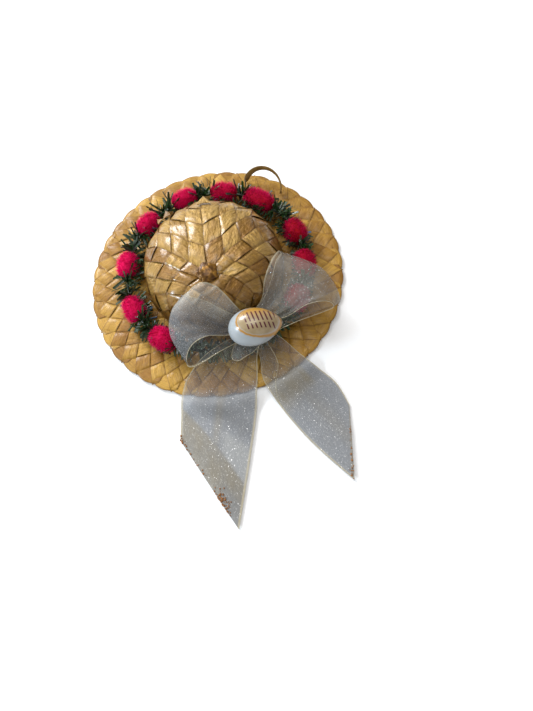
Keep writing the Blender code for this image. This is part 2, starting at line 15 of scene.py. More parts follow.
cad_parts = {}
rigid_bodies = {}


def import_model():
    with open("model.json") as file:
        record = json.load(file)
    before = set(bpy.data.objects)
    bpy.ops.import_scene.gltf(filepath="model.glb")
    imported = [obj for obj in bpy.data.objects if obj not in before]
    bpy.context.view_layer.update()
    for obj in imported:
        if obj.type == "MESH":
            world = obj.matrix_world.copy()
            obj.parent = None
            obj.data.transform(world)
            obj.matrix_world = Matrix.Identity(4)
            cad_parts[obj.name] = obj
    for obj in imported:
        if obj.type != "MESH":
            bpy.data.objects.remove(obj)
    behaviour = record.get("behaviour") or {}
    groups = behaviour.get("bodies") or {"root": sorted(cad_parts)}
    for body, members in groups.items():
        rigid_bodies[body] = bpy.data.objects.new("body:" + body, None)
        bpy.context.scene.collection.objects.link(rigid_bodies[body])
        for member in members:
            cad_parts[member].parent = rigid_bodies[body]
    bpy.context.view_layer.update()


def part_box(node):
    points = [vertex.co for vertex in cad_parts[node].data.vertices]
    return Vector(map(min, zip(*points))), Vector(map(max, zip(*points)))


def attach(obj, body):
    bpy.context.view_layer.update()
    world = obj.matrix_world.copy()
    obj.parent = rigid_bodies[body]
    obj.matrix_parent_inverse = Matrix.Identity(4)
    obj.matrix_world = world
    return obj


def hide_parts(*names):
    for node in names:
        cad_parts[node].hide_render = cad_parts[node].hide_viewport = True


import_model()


def degrees_vector(azimuth, radius=1.0):
    angle = math.radians(azimuth)
    return Vector((radius * math.cos(angle), radius * math.sin(angle), 0.0))


def flat_vector(x, y, unit):
    return Vector((x, y, 0.0)) * unit


def ease(value):
    """0 to 1 with a soft start and a soft end."""
    value = min(max(value, 0.0), 1.0)
    return value * value * (3.0 - 2.0 * value)


def lerp(start, end, share):
    return start + (end - start) * share


def smooth_line(points, share):
    """A point on a smooth curve through the given points, share running from 0 to 1."""
    spans = len(points) - 1
    position = min(max(share, 0.0), 1.0) * spans
    index = min(int(position), spans - 1)
    mix = position - index
    before, start, end, after = (points[min(max(index + step, 0), spans)] for step in (-1, 0, 1, 2))
    return 0.5 * (2.0 * start + (end - before) * mix
                  + (2.0 * before - 5.0 * start + 4.0 * end - after) * mix ** 2
                  + (3.0 * start - before - 3.0 * end + after) * mix ** 3)


MM = 0.001
UP = Vector((0.0, 0.0, 1.0))

# Hat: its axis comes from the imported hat
hat_low, hat_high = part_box("woven_hat")
HAT = Vector(((hat_low.x + hat_high.x) / 2, (hat_low.y + hat_high.y) / 2, 0.0))
BRIM_RADIUS = 50.0 * MM
SCALLOP_RISE = 0.7 * MM
CROWN_RADIUS = 26.9 * MM
CROWN_HEIGHT = 20.2 * MM
CROWN_SHAPE = 3.2
CROWN_OFFSET = flat_vector(0.0, 1.5, MM)
POLE_SHIFT = flat_vector(0.9, -11.9, MM)
CROWN_CLEARANCE = 1.15 * MM
STRAW_TOP = 1.2 * MM
WOVEN_TOP = 1.65 * MM
BUTTON_RADIUS = 4.4 * MM
BUTTON_DEPTH = 1.3 * MM
BUTTON_DOME = 0.9 * MM

# Plait
ROSETTE_ARMS = 5
ROSETTE_RINGS = 4
CROWN_RINGS = 7
BRIM_RINGS = 6
CROWN_STRIPS = 20
BRIM_STRIPS = 40
PLAIT_TURN = 27.0
STRIP_COVER = 0.98
STRIP_THICKNESS = 0.26 * MM
STRIP_SWING = 0.62 * MM
STRIP_LEVEL = -0.34 * MM
STRIP_STUB = 0.2
STRIP_CREASE = 50.0
CROWN_RELIEF = 0.85
BRIM_RELIEF = 0.62
CROWN_RING_SHARES = (0.0, 0.165, 0.33, 0.49, 0.635, 0.765, 0.885, 1.0)
CROWN_RING_STRAIGHTNESS = (0.0, 1.0, 1.0, 1.0, 0.8, 0.45, 0.1, 0.0)
FOLD_BULGE = 2.2 * MM
FOLD_STEP = 0.45 * MM
FOLD_INSET = 1.5 * MM
FOLD_DEPTH = 6.3 * MM
FOLD_UNDERSIDE = -1.17 * MM

# Garland
TOUCH_GAP = 0.3 * MM
GARLAND_CENTRE = flat_vector(0.6, 0.2, MM)
GARLAND_RADIUS = 34.28 * MM
GARLAND_Z = 6.75 * MM
STEM_RADIUS = 0.6 * MM
TUFT_RADIUS = 4.8 * MM
TUFT_TOP = GARLAND_Z + TUFT_RADIUS
TUFT_CORE = 0.5 * MM
TUFT_LENGTH = 11.6 * MM
WIDE_TUFT_LENGTH = 15.0 * MM
TUFT_LENGTHS = (TUFT_LENGTH,) * 3 + (WIDE_TUFT_LENGTH,) + (TUFT_LENGTH,) * 6
TUFT_GAPS = tuple(gap * MM for gap in (3.4, 3.1, 7.9, 2.0, 4.6, 6.6, 8.1, 8.1, 5.8))
FIRST_TUFT_AZIMUTH = -25.0
FIBRES_PER_MM = 230
BLADE_STEP = 0.15 * MM
BLADE_THICKNESS = 0.14 * MM
BOW_COVER = (-136.0, 20.0)
TAIL_COVER = (-106.0, -42.0)

# Bow
BOW_AZIMUTH = -59.5
BOW_INSET = 1.2 * MM
RIBBON_WIDTH = 25.4 * MM
RIBBON_THICKNESS = 0.45 * MM
RIBBON_ROWS = 100
RIBBON_COLUMNS = 28
ORGANZA_COVER = 0.87
ORGANZA_HAT_COVER = 0.28
ORGANZA_PITCH = 0.42
EDGE_THREAD_RADIUS = 0.08 * MM
KNOT_LENGTH = 10.5 * MM
KNOT_WIDTH = 8.6 * MM
KNOT_HEIGHT = 5.2 * MM
KNOT_Z = GARLAND_Z + STEM_RADIUS + TOUCH_GAP + KNOT_HEIGHT / 2
KNOT_LEVEL = HAT + GARLAND_CENTRE + degrees_vector(BOW_AZIMUTH, GARLAND_RADIUS - BOW_INSET)
KNOT = KNOT_LEVEL + UP * KNOT_Z
FOLD_REST = TUFT_TOP + TOUCH_GAP + RIBBON_THICKNESS
LOOP_PUFF = 6.4 * MM
DRAPE_RUN = 8.0 * MM
TAIL_PLEAT = 0.55 * MM
WRAP_HEADING = degrees_vector(-136.0)
WRAP_REACH = 8.4 * MM
WRAP_DROP = 1.9 * MM
WRAP_THREAD = (-190.0, -62.0)

# Shell
SHELL_LENGTH = 19.0 * MM
SHELL_WIDTH = 13.6 * MM
SHELL_HEIGHT = 8.6 * MM
SHELL_BASE = 0.22 * SHELL_HEIGHT
SHELL_TURN = Matrix.Rotation(math.radians(9.0), 4, "Z")

# Hanging loop
LOOP_AZIMUTH = 64.5
LOOP_SPAN = 16.4 * MM
LOOP_REACH = 7.8 * MM
LOOP_LEAN = 42.0
LOOP_STRIP_WIDTH = 1.7 * MM
LOOP_STRIP_LENGTH = 30.0 * MM
LOOP_STRIP_THICKNESS = 0.6 * MM
LOOP_SET_BACK = 6.5 * MM
LOOP_TONE = 0.35

# Camera, fitted to the brim's outline in the photograph
IMAGE_HEIGHT = 711
FOCAL_PIXELS = 534.0
CAMERA_PLACE = HAT + Vector((35.6, -103.35, 184.8)) * MM
CAMERA_TILT = 21.04
CAMERA_AZIMUTH = 102.72


# Materials

def math_operator(operation, swapped=False):
    """An operator of a value that adds one Math node to its finish."""
    def add_node(value, other=0.0):
        inputs = (other, value) if swapped else (value, other)
        return value.finish.node("ShaderNodeMath", {"operation": operation}, inputs)

    return add_node


class Value:
    """A number or colour that varies over a surface. Arithmetic on it adds Math nodes."""

    __add__ = __radd__ = math_operator("ADD")
    __mul__ = __rmul__ = math_operator("MULTIPLY")
    __sub__ = math_operator("SUBTRACT")
    __rsub__ = math_operator("SUBTRACT", swapped=True)
    __truediv__ = math_operator("DIVIDE")
    __pow__ = math_operator("POWER")
    __abs__ = math_operator("ABSOLUTE")
    sine = math_operator("SINE")
    ping_pong = math_operator("PINGPONG")

    def __init__(self, finish, socket):
        self.finish = finish
        self.socket = socket

    def above(self, edge, softness):
        """0 below the edge and 1 above it, with a soft step."""
        values = {"Value": self, "From Min": edge - softness, "From Max": edge + softness}
        return self.finish.node("ShaderNodeMapRange", {"interpolation_type": "SMOOTHSTEP"}, values)


def colour(red, green, blue):
    """A screen colour of 0 to 255 as the linear colour that a shader takes."""
    return (*(((c / 255 + 0.055) / 1.055) ** 2.4 for c in (red, green, blue)), 1.0)


class Finish:
    """A named material, with the nodes that vary it."""

    def __init__(self, name, **constants):
        self.material = bpy.data.materials.new(name)
        self.material.use_nodes = True
        self.tree = self.material.node_tree
        self.shader = self.tree.nodes["Principled BSDF"]
        for socket, value in constants.items():
            self.shader.inputs[socket.replace("_", " ")].default_value = value

    def connect(self, **values):
        """Lead varying values to the shader's inputs, and give the finished material."""
        for socket, value in values.items():
            self.tree.links.new(value.socket, self.shader.inputs[socket.replace("_", " ")])
        return self.material

    def node(self, kind, settings=(), values=(), output=0):
        """Add a node with its settings, and with values or links on its sockets."""
        node = self.tree.nodes.new(kind)
        for name, value in dict(settings).items():
            setattr(node, name, value)
        pairs = values.items() if isinstance(values, dict) else enumerate(values)
        for socket, value in pairs:
            if isinstance(value, Value):
                self.tree.links.new(value.socket, node.inputs[socket])
            else:
                node.inputs[socket].default_value = value
        return Value(self, node.outputs[output])

    def attribute(self, name):
        return self.node("ShaderNodeAttribute", {"attribute_name": name}, (), "Fac")

    def uv(self):
        """The place on the piece's own map: how far across it and how far along it."""
        place = self.node("ShaderNodeUVMap", {"uv_map": "UVMap"})
        return [self.node("ShaderNodeSeparateXYZ", (), [place], axis) for axis in (0, 1)]

    def object_place(self):
        return self.node("ShaderNodeTexCoord", (), (), "Object")

    def stretched_place(self, across, along, seed):
        u, v = self.uv()
        return self.node("ShaderNodeCombineXYZ", (), [u * across, v * along, seed])

    def noise(self, place, scale, detail, roughness=0.55):
        values = {"Vector": place, "Scale": scale, "Detail": detail, "Roughness": roughness}
        return self.node("ShaderNodeTexNoise", (), values, "Fac")

    def streaks(self, across, along, seed=0.0, detail=3.0, roughness=0.55):
        """Noise on the piece's own map, with a scale across and one along."""
        return self.noise(self.stretched_place(across, along, seed), 1.0, detail, roughness)

    def mottle(self, scale):
        """Noise on the object's own place."""
        return self.noise(self.object_place(), scale, 2.0)

    def cells(self, across, along, seed=0.0, output="Distance"):
        values = {"Vector": self.stretched_place(across, along, seed), "Scale": 1.0}
        return self.node("ShaderNodeTexVoronoi", (), values, output)

    def paint(self, base, *coats):
        """Lay screen colours over a base colour, each with its share."""
        base = colour(*base)
        for share, tint in coats:
            base = self.node("ShaderNodeMix", {"data_type": "RGBA"}, {0: share, 6: base, 7: colour(*tint)}, 2)
        return base

    def bump(self, height, distance, strength, under=None):
        values = {"Strength": strength, "Distance": distance, "Height": height}
        if under is not None:
            values["Normal"] = under
        return self.node("ShaderNodeBump", (), values)


def straw_finish(name, pale, middle, deep, gloss, crumple, satin):
    """Varnished palm leaf: fibres along the strip, crinkles, painted shade along the strips' margins and at
    their ends under the neighbours, and small dark specks.
    """
    finish = Finish(name, Coat_Roughness=0.2, Specular_IOR_Level=0.3, Metallic=satin)
    tone = finish.attribute("tone")
    fibres = finish.streaks(5.0, 0.22, tone * 40.0, 4.0)
    threads = finish.streaks(16.0, 0.5, tone * 90.0, 2.0)
    crinkle = finish.streaks(0.5, 0.32, tone * 17.0, 3.0, 0.5)
    patches = finish.streaks(0.25, 0.12, tone * 63.0, 2.0)
    specks = finish.cells(0.42, 0.3, tone * 11.0)
    base = finish.paint(middle,
                        ((tone * 0.75 + patches * 0.8).above(0.78, 0.42), pale),
                        (fibres.above(0.52, 0.2) * 0.45, deep),
                        (threads.above(0.6, 0.12) * 0.3, deep),
                        # Painted shade: each strip darkens along its margins and at its ends, where it passes
                        # under its neighbours.
                        (finish.attribute("edge").above(0.9, 0.1) * 0.5, deep),
                        ((1.0 - specks.above(0.07, 0.03)) * 0.7, (58, 34, 14)))
    fine = finish.bump(fibres * 0.7 + threads * 0.3, 0.14 * MM, 0.9)
    return finish.connect(Base_Color=base, Roughness=0.42 - 0.16 * gloss + crinkle * 0.2 + fibres * 0.14,
                          Coat_Weight=crinkle.above(0.48, 0.16) * gloss,
                          Normal=finish.bump(crinkle, crumple, 0.9, fine))


def chenille_finish():
    """Pink fibres, deep at the stem and paler at their tips, and paler on the garland's left with painted
    light.
    """
    finish = Finish("pink_chenille", Roughness=0.75, Sheen_Weight=0.12, Sheen_Roughness=0.4,
                    Sheen_Tint=colour(255, 60, 120), Specular_IOR_Level=0.1)
    strand, tip = finish.uv()
    # Painted light: the tufts on the garland's left, the side the window light comes from, are mixed paler.
    left = 0.25 - finish.node("ShaderNodeSeparateXYZ", (), [finish.object_place()]) * 14.0
    depth = (tip * 0.75 + strand * 0.3 + finish.mottle(260.0) * 0.5 + left * 0.5 - 0.4).above(0.5, 0.5)
    return finish.connect(Base_Color=finish.paint((146, 0, 14), (depth, (224, 8, 96))))


def foil_finish():
    """Dark green tinsel: each blade has its own tone, a few are painted blue as bluish glints, with faint
    streaks and a shine.
    """
    finish = Finish("dark_green_foil", Roughness=0.42, Coat_Roughness=0.2)
    tone = finish.attribute("tone")
    streaks = finish.streaks(6.0, 0.6, tone * 30.0, 2.0)
    base = finish.paint((6, 18, 7), (tone, (26, 60, 16)), (streaks.above(0.62, 0.15) * 0.5, (56, 98, 26)),
                        # Painted glints: about one blade in a hundred is coloured blue for a bluish
                        # reflection.
                        (tone.above(0.99, 0.002), (70, 110, 150)))
    return finish.connect(Base_Color=base, Coat_Weight=streaks.above(0.5, 0.2) * 0.5,
                          Normal=finish.bump(streaks, 0.12 * MM, 0.5))


def organza_finish():
    """Sheer silver ribbon: a fine net of threads with sparkles and denser woven margins. The sparkles' white
    and the bright dots are painted glints, and the dim attribute paints shade and light.
    """
    finish = Finish("silver_organza", Specular_IOR_Level=0.7)
    across, along = finish.uv()
    warp, weft = ((place * (2.0 * math.pi / ORGANZA_PITCH)).sine() * 0.5 + 0.5 for place in (across, along))
    net = (warp + weft) * 0.5
    selvedge = abs(across / (RIBBON_WIDTH / MM / 2) - 1.0).above(0.955, 0.02)
    cloud = finish.streaks(0.22, 0.1)
    spread = finish.cells(2.6, 2.6)
    lit = finish.node("ShaderNodeSeparateColor", (), [finish.cells(2.6, 2.6, output="Color")])
    dot = 1.0 - spread.above(0.34, 0.16)
    # Painted glints: sparkle paints white dots, which are also metallic and glossy, and bright paints paler
    # dots.
    sparkle = lit.above(0.94, 0.03) * (1.0 - spread.above(0.24, 0.1))
    bright = lit.above(0.66, 0.2) * dot
    dark = (1.0 - lit.above(0.3, 0.1)) * dot
    dim = finish.attribute("dim")
    shade = finish.paint((102, 106, 113),
                         (finish.attribute("warm"), (111, 100, 76)),
                         (cloud.above(0.5, 0.2) * 0.5, (104, 104, 104)),
                         (net * 0.2 + bright * 0.35, (222, 220, 214)),
                         (dark * 0.4, (48, 50, 54)),
                         # Painted shade where dim is above 0 and painted light where it is below 0.
                         (dim, (30, 31, 32)),
                         (dim * -1.0, (212, 210, 200)),
                         (selvedge * 0.5, (186, 172, 138)),
                         (sparkle, (255, 255, 255)))
    body = (ORGANZA_HAT_COVER + finish.attribute("off_hat") * (ORGANZA_COVER - ORGANZA_HAT_COVER)
            + (net - 0.5) * 0.16 + (cloud - 0.5) * 0.2 + bright * 0.12)
    alpha = finish.node("ShaderNodeMath", {"operation": "MAXIMUM", "use_clamp": True},
                        [body, selvedge * 0.6 + sparkle * 0.9])
    fine = finish.bump(net, 0.05 * MM, 0.5)
    return finish.connect(Base_Color=shade, Metallic=0.1 + sparkle * 0.7, Alpha=alpha,
                          Roughness=0.5 - sparkle * 0.35 + cloud * 0.1,
                          Normal=finish.bump(finish.streaks(1.2, 0.12), 0.22 * MM, 0.5, fine))


def shell_finish():
    """Glossy cowrie: a white margin and a cream back, both darkened with painted shade, an orange ring and
    painted strokes.
    """
    finish = Finish("glazed_cowrie", Roughness=0.3, Coat_Weight=0.2, Coat_Roughness=0.05,
                    Subsurface_Weight=0.06, Subsurface_Radius=(0.003, 0.002, 0.001), Subsurface_Scale=0.4)
    x, y = finish.uv()
    wobble = finish.streaks(0.6, 0.6, 0.0, 2.0) - 0.5
    ring = (((x - 1.5) / 7.5) ** 2.0 + ((y - 0.2) / 5.6) ** 2.0) ** 0.5 + wobble * 0.08
    inside = 1.0 - ring.above(0.93, 0.04)
    slanted = x + y * 0.22
    ragged = finish.streaks(1.4, 1.4) - 0.5
    stroke = 1.0 - ((slanted + 20.0).ping_pong(0.72) + ragged * 0.22).above(0.25, 0.08)
    lanes = (1.0 - abs(y - 1.3).above(2.0, 0.15)) + (1.0 - abs(y + 2.2).above(0.9, 0.1))
    reach = 1.0 - abs(x - 2.0).above(5.2, 0.2)
    # Painted shade: the cream back and the white margin are mixed darker and greyer than the shell's own
    # colours.
    base = finish.paint((136, 113, 76),
                        (finish.streaks(0.5, 0.5), (162, 145, 114)),
                        (1.0 - inside, (156, 162, 165)),
                        ((y - 1.0).above(1.2, 2.4) * inside * 0.75, (180, 128, 26)),
                        ((1.0 - abs(ring - 1.0).above(0.05, 0.035)) * 0.95, (164, 114, 0)),
                        (stroke * lanes * reach * inside, (74, 12, 28)))
    return finish.connect(Base_Color=base, Normal=finish.bump(finish.mottle(500.0), 0.05 * MM, 0.3))


def mottled_finish(name, scale, deep, pale, step=None, bump=None, **constants):
    """A finish mottled in two colours. step sharpens the mottle and bump raises it."""
    finish = Finish(name, **constants)
    grain = finish.mottle(scale)
    values = {"Base_Color": finish.paint(deep, (grain.above(*step) if step else grain, pale))}
    if bump:
        values["Normal"] = finish.bump(grain, *bump)
    return finish.connect(**values)


# Meshes

def dress(piece, material, slot, place=None, sharp=None, **attributes):
    """Place, smooth and finish a piece's mesh, give it its point attributes and attach it to the root body.
    """
    mesh = piece.data
    if place is not None:
        mesh.transform(place)
    mesh.shade_smooth()
    if sharp is not None:
        mesh.set_sharp_from_angle(angle=math.radians(sharp))
    mesh.materials.clear()
    mesh.materials.append(material)
    for key, values in attributes.items():
        layer = mesh.attributes.new(key, "FLOAT", "POINT")
        layer.data.foreach_set("value", np.full(len(mesh.vertices), values, np.float32))
    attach(piece, "root")
    return piece


def link(name, data):
    """A new object in the scene."""
    thing = bpy.data.objects.new(name, data)
    bpy.context.scene.collection.objects.link(thing)
    return thing


def make_piece(name, points, faces, material, slot, uv=None, sharp=None, closed=True, **attributes):
    """A piece from its points and faces, with its own UV map in millimetres and point attributes."""
    mesh = bpy.data.meshes.new(name)
    mesh.from_pydata(np.asarray(points, float).reshape(-1, 3).tolist(), [], [list(face) for face in faces])
    if closed:
        work = bmesh.new()
        work.from_mesh(mesh)
        bmesh.ops.recalc_face_normals(work, faces=work.faces)
        work.to_mesh(mesh)
        work.free()
    if uv is not None:
        corners = np.empty(len(mesh.loops), np.int64)
        mesh.loops.foreach_get("vertex_index", corners)
        layer = mesh.uv_layers.new(name="UVMap")
        layer.data.foreach_set("uv", np.asarray(uv, np.float32)[corners].ravel())
    return dress(link(name, mesh), material, slot, None, sharp, **attributes)


def deselect():
    for thing in bpy.context.view_layer.objects:
        thing.select_set(False)


def primitive(name, operator, **settings):
    """Add a primitive at the origin and return it, alone and selected."""
    deselect()
    operator(**settings)
    piece = bpy.context.active_object
    piece.name = name
    return piece


def apply_modifier(piece, kind, **settings):
    modifier = piece.modifiers.new(kind.title(), kind)
    for name, value in settings.items():
        setattr(modifier, name, value)
    deselect()
    piece.select_set(True)
    bpy.context.view_layer.objects.active = piece
    bpy.ops.object.modifier_apply(modifier=modifier.name)


def take_apart(piece):
    """The points and faces of a primitive, which goes."""
    points = np.array([vertex.co for vertex in piece.data.vertices], float)
    faces = [tuple(polygon.vertices) for polygon in piece.data.polygons]
    bpy.data.objects.remove(piece, do_unlink=True)
    return points, faces


def unit_strip(across, along):
    """A flat strip: x from 0 to 1 across, y from 0 to 1 along, z from -0.5 to 0.5 through it."""
    strip = primitive("strip", bpy.ops.mesh.primitive_grid_add, x_subdivisions=across, y_subdivisions=along,
                      size=1.0)
    apply_modifier(strip, "SOLIDIFY", thickness=1.0, offset=0.0)
    points, faces = take_apart(strip)
    return points + (0.5, 0.5, 0.0), faces


class Batch:
    """Copies of one shape, gathered into one mesh with UVs, tones and nearness to the strip's edge."""

    def __init__(self):
        self.copies = []
        self.faces = []
        self.count = 0

    def add(self, points, faces, uv, tone, edge=0.0):
        self.faces.extend(tuple(corner + self.count for corner in face) for face in faces)
        self.count += len(points)
        self.copies.append((points, uv, np.full(len(points), tone), np.full(len(points), edge)))

    def bend(self, strip, tone, bent):
        """Add a copy of a strip. bent turns its x, y and z into a place, a UV and a nearness to its edge."""
        shape, faces = strip
        points, uv, edge = zip(*(bent(*corner) for corner in shape))
        self.add(points, faces, uv, tone, edge)

    def make(self, name, material, slot, sharp=None):
        points, uv, tone, edge = (np.concatenate(values) for values in zip(*self.copies))
        return make_piece(name, points, self.faces, material, slot, uv, sharp, tone=tone, edge=edge)


def tube_faces(rings, sides):
    """Faces of a closed tube of rings of points, with its ends capped."""
    faces = [tuple(range(sides - 1, -1, -1)), tuple(range((rings - 1) * sides, rings * sides))]
    for ring in range(0, (rings - 1) * sides, sides):
        for corner in range(sides):
            here, following = ring + corner, ring + (corner + 1) % sides
            faces.append((here, following, following + sides, here + sides))
    return faces


def ring_points(centre, side, other, radius, sides):
    """Points evenly round a centre, in the plane of two directions."""
    angles = (2.0 * math.pi * corner / sides for corner in range(sides))
    return [centre + (side * math.cos(angle) + other * math.sin(angle)) * radius for angle in angles]


def make_tube(name, line, radius, material, sides=6):
    """A closed round thread along a line of points."""
    points = []
    side = None
    for index, spot in enumerate(line):
        heading = (line[min(index + 1, len(line) - 1)] - line[max(index - 1, 0)]).normalized()
        if side is None:
            side = heading.orthogonal().normalized()
        side = (side - heading * side.dot(heading)).normalized()
        points += ring_points(spot, side, heading.cross(side), radius, sides)
    return make_piece(name, points, tube_faces(len(line), sides), material, "organza")


# Plaited straw

def crown_profile(steps=240):
    """Distance along the crown's section from its top, with the radius and the height there."""
    rows = [(0.0, 0.0, CROWN_HEIGHT)]
    for step in range(1, steps + 1):
        angle = 0.5 * math.pi * step / steps
        radius = CROWN_RADIUS * math.sin(angle) ** (2.0 / CROWN_SHAPE)
        height = CROWN_HEIGHT * max(math.cos(angle), 0.0) ** (2.0 / CROWN_SHAPE)
        gone = math.hypot(radius - rows[-1][1], height - rows[-1][2])
        rows.append((rows[-1][0] + gone, radius, height))
    return np.array(rows).T


PROFILE_DISTANCE, PROFILE_RADIUS, PROFILE_HEIGHT = crown_profile()


def crown_middle(radius):
    """The middle of the crown's level ring of a radius. The rings shift to the front near the top."""
    return HAT + CROWN_OFFSET + POLE_SHIFT * max(1.0 - radius / CROWN_RADIUS, 0.0) ** 1.5


def crown_point(share, azimuth):
    """A point on the crown's outside, at a share of the way from the plait's centre to the brim."""
    distance = share * PROFILE_DISTANCE[-1]
    radius = float(np.interp(distance, PROFILE_DISTANCE, PROFILE_RADIUS))
    height = float(np.interp(distance, PROFILE_DISTANCE, PROFILE_HEIGHT))
    return crown_middle(radius) + degrees_vector(azimuth, radius) + UP * (STRAW_TOP + height)


def crown_normal(share, azimuth):
    small = 0.004
    down = crown_point(min(share + small, 1.0), azimuth) - crown_point(share - small, azimuth)
    along = crown_point(share, azimuth + 1.0) - crown_point(share, azimuth - 1.0)
    return down.cross(along).normalized()


def clear_of_crown(spot):
    """Hold a point of the bow outside the crown and the relief of its strips."""
    height = spot.z - STRAW_TOP
    if height >= CROWN_HEIGHT + CROWN_CLEARANCE:
        return spot
    middle = crown_middle(float(np.interp(-height, -PROFILE_HEIGHT, PROFILE_RADIUS)))
    level = Vector((spot.x - middle.x, spot.y - middle.y, 0.0))
    out = level.length / (CROWN_RADIUS + CROWN_CLEARANCE)
    up = max(height, 0.0) / (CROWN_HEIGHT + CROWN_CLEARANCE)
    inside = (out ** CROWN_SHAPE + up ** CROWN_SHAPE) ** (1.0 / CROWN_SHAPE)
    if inside >= 1.0:
        return spot
    return middle + level / inside + UP * (STRAW_TOP + height / inside)


class Plait:
    """Lattice of crossings. Each cell's strip runs from its edge 0-3 to its edge 1-2."""

    def __init__(self):
        self.places = []
        self.normals = []
        self.cells = []
        self.by_edge = {}

    def point(self, place, normal):
        self.places.append(np.array(place))
        self.normals.append(np.array(normal.normalized()))
        return len(self.places) - 1

    def cell(self, ring, top, left, bottom, right, tone):
        """Strips slant one way on even rings and the other way on odd ones."""
        corners = (top, left, bottom, right) if ring % 2 == 0 else (left, bottom, right, top)
        for one, other in zip(corners, corners[1:] + corners[:1]):
            self.by_edge.setdefault(frozenset((one, other)), []).append(len(self.cells))
        self.cells.append((corners, tone))

    def diamond(self, ring, rings, index, tone):
        """A cell between three rings of crossings, under a crossing of the first."""
        upper, middle, lower = rings
        self.cell(ring, upper[index], middle[index - 1], lower[index - 1], middle[index], tone)

    def station(self, one, other):
        """Both crossings at one end of a cell's strip: their places and their normals."""
        return np.array([self.places[one], self.places[other], self.normals[one], self.normals[other]])

    def beyond(self, index, near, far):
        """The station past the edge near-far: across the next cell, or a short stub at a border."""
        edge, behind = self.station(*near), self.station(*far)
        for neighbour in self.by_edge[frozenset(near)]:
            if neighbour != index:
                corners = self.cells[neighbour][0]
                first, second = (corners.index(crossing) for crossing in near)
                return self.station(corners[(2 * first - second) % 4], corners[(2 * second - first) % 4])
        edge[:2] += (edge[:2] - behind[:2]) * STRIP_STUB
        return edge


def crown_crossing(ring, index):
    """Share and azimuth of a crossing: five-sided rings near the top, round ones at the brim."""
    count = ROSETTE_ARMS * min(ring, ROSETTE_RINGS)
    turn = 0.5 * max(ring - ROSETTE_RINGS, 0)
    arm, step = divmod(ROSETTE_ARMS * (index + turn) / count, 1.0)
    sector = 360.0 / ROSETTE_ARMS
    side = degrees_vector(0.0).lerp(degrees_vector(sector), step)
    straightness = CROWN_RING_STRAIGHTNESS[ring]
    bearing = lerp(step * sector, math.degrees(math.atan2(side.y, side.x)), straightness)
    share = CROWN_RING_SHARES[ring] * lerp(1.0, side.length, straightness)
    return share, arm * sector + bearing + PLAIT_TURN


def wall_azimuths(ring):
    """Azimuths of a ring of crossings in the crown's wall. Each ring starts half a strip on."""
    turn = 0.5 * (ring - ROSETTE_RINGS)
    return [360.0 * (index + turn) / CROWN_STRIPS + PLAIT_TURN for index in range(CROWN_STRIPS)]


def lay_crown(plait, dice):
    """Crossings and cells of the crown, from the plait's centre to the corner at the brim."""
    rings = [[plait.point(crown_point(0.0, 0.0), UP)]]
    for ring in range(1, CROWN_RINGS):
        row = []
        for index in range(ROSETTE_ARMS * min(ring, ROSETTE_RINGS)):
            share, azimuth = crown_crossing(ring, index)
            share += dice.uniform(-0.009, 0.009)
            azimuth += dice.uniform(-6.0, 6.0) / (ring + 1)
            row.append(plait.point(crown_point(share, azimuth), crown_normal(share, azimuth)))
        rings.append(row)
    for ring, height in ((CROWN_RINGS, MM), (CROWN_RINGS + 1, 0.0)):
        rings.append([plait.point(crown_point(1.0, azimuth) + UP * height, degrees_vector(azimuth))
                      for azimuth in wall_azimuths(ring)])
    tones = [dice.random() for _ in range(4 * CROWN_STRIPS)]
    for ring in range(ROSETTE_RINGS):
        upper, middle, lower = rings[ring:ring + 3]
        for arm in range(ROSETTE_ARMS):
            for step in range(ring + 1):
                left = arm * (ring + 1) + step
                below = left if ring == ROSETTE_RINGS - 1 else arm * (ring + 2) + step + 1
                lane = step if ring % 2 == 0 else ring - step + ROSETTE_RINGS
                plait.cell(ring, upper[(arm * ring + step) % len(upper)], middle[left], lower[below],
                           middle[(left + 1) % len(middle)], tones[arm * 2 * ROSETTE_RINGS + lane])
    for ring in range(ROSETTE_RINGS, CROWN_RINGS):
        for index in range(CROWN_STRIPS):
            shift = CROWN_STRIPS if ring % 2 else ring % (CROWN_RINGS - 1)
            plait.diamond(ring, rings[ring:ring + 3], index, tones[index + shift])


def brim_point(ring, index):
    share = ring / BRIM_RINGS
    radius = CROWN_RADIUS * ((BRIM_RADIUS - SCALLOP_RISE) / CROWN_RADIUS) ** share
    turn = 0.5 * (CROWN_RINGS - ROSETTE_RINGS) / CROWN_STRIPS
    azimuth = 360.0 * ((index + 0.5 * ring) / BRIM_STRIPS + turn) + PLAIT_TURN
    return HAT + CROWN_OFFSET * (1.0 - share) + degrees_vector(azimuth, radius) + UP * STRAW_TOP


def lay_brim(plait, dice):
    """Crossings and cells of the brim. Gives the places of its outer ring and the tones of its strips."""
    rings = [[plait.point(brim_point(ring, index), UP) for index in range(BRIM_STRIPS)]
             for ring in range(BRIM_RINGS + 1)]
    tones = [dice.random() for _ in range(2 * BRIM_STRIPS)]
    for index in range(BRIM_STRIPS):
        top = plait.point((brim_point(0, index) + brim_point(0, index + 1)) / 2, UP)
        following = rings[0][(index + 1) % BRIM_STRIPS]
        plait.cell(1, top, rings[0][index], rings[1][index], following, tones[index])
    for ring in range(BRIM_RINGS - 1):
        for index in range(BRIM_STRIPS):
            odd = (ring + CROWN_RINGS) % 2
            tone = tones[index] if odd else tones[BRIM_STRIPS + (index + ring) % BRIM_STRIPS]
            plait.diamond(ring + CROWN_RINGS, rings[ring:ring + 3], index, tone)
    return [plait.places[crossing] for crossing in rings[BRIM_RINGS]], tones


def weave_height(along):
    """High in the middle of the strip's own cell, low in the middle of the next ones, flat between."""
    return math.tanh(1.7 * math.cos(math.pi * (along - 0.5))) / math.tanh(1.7)


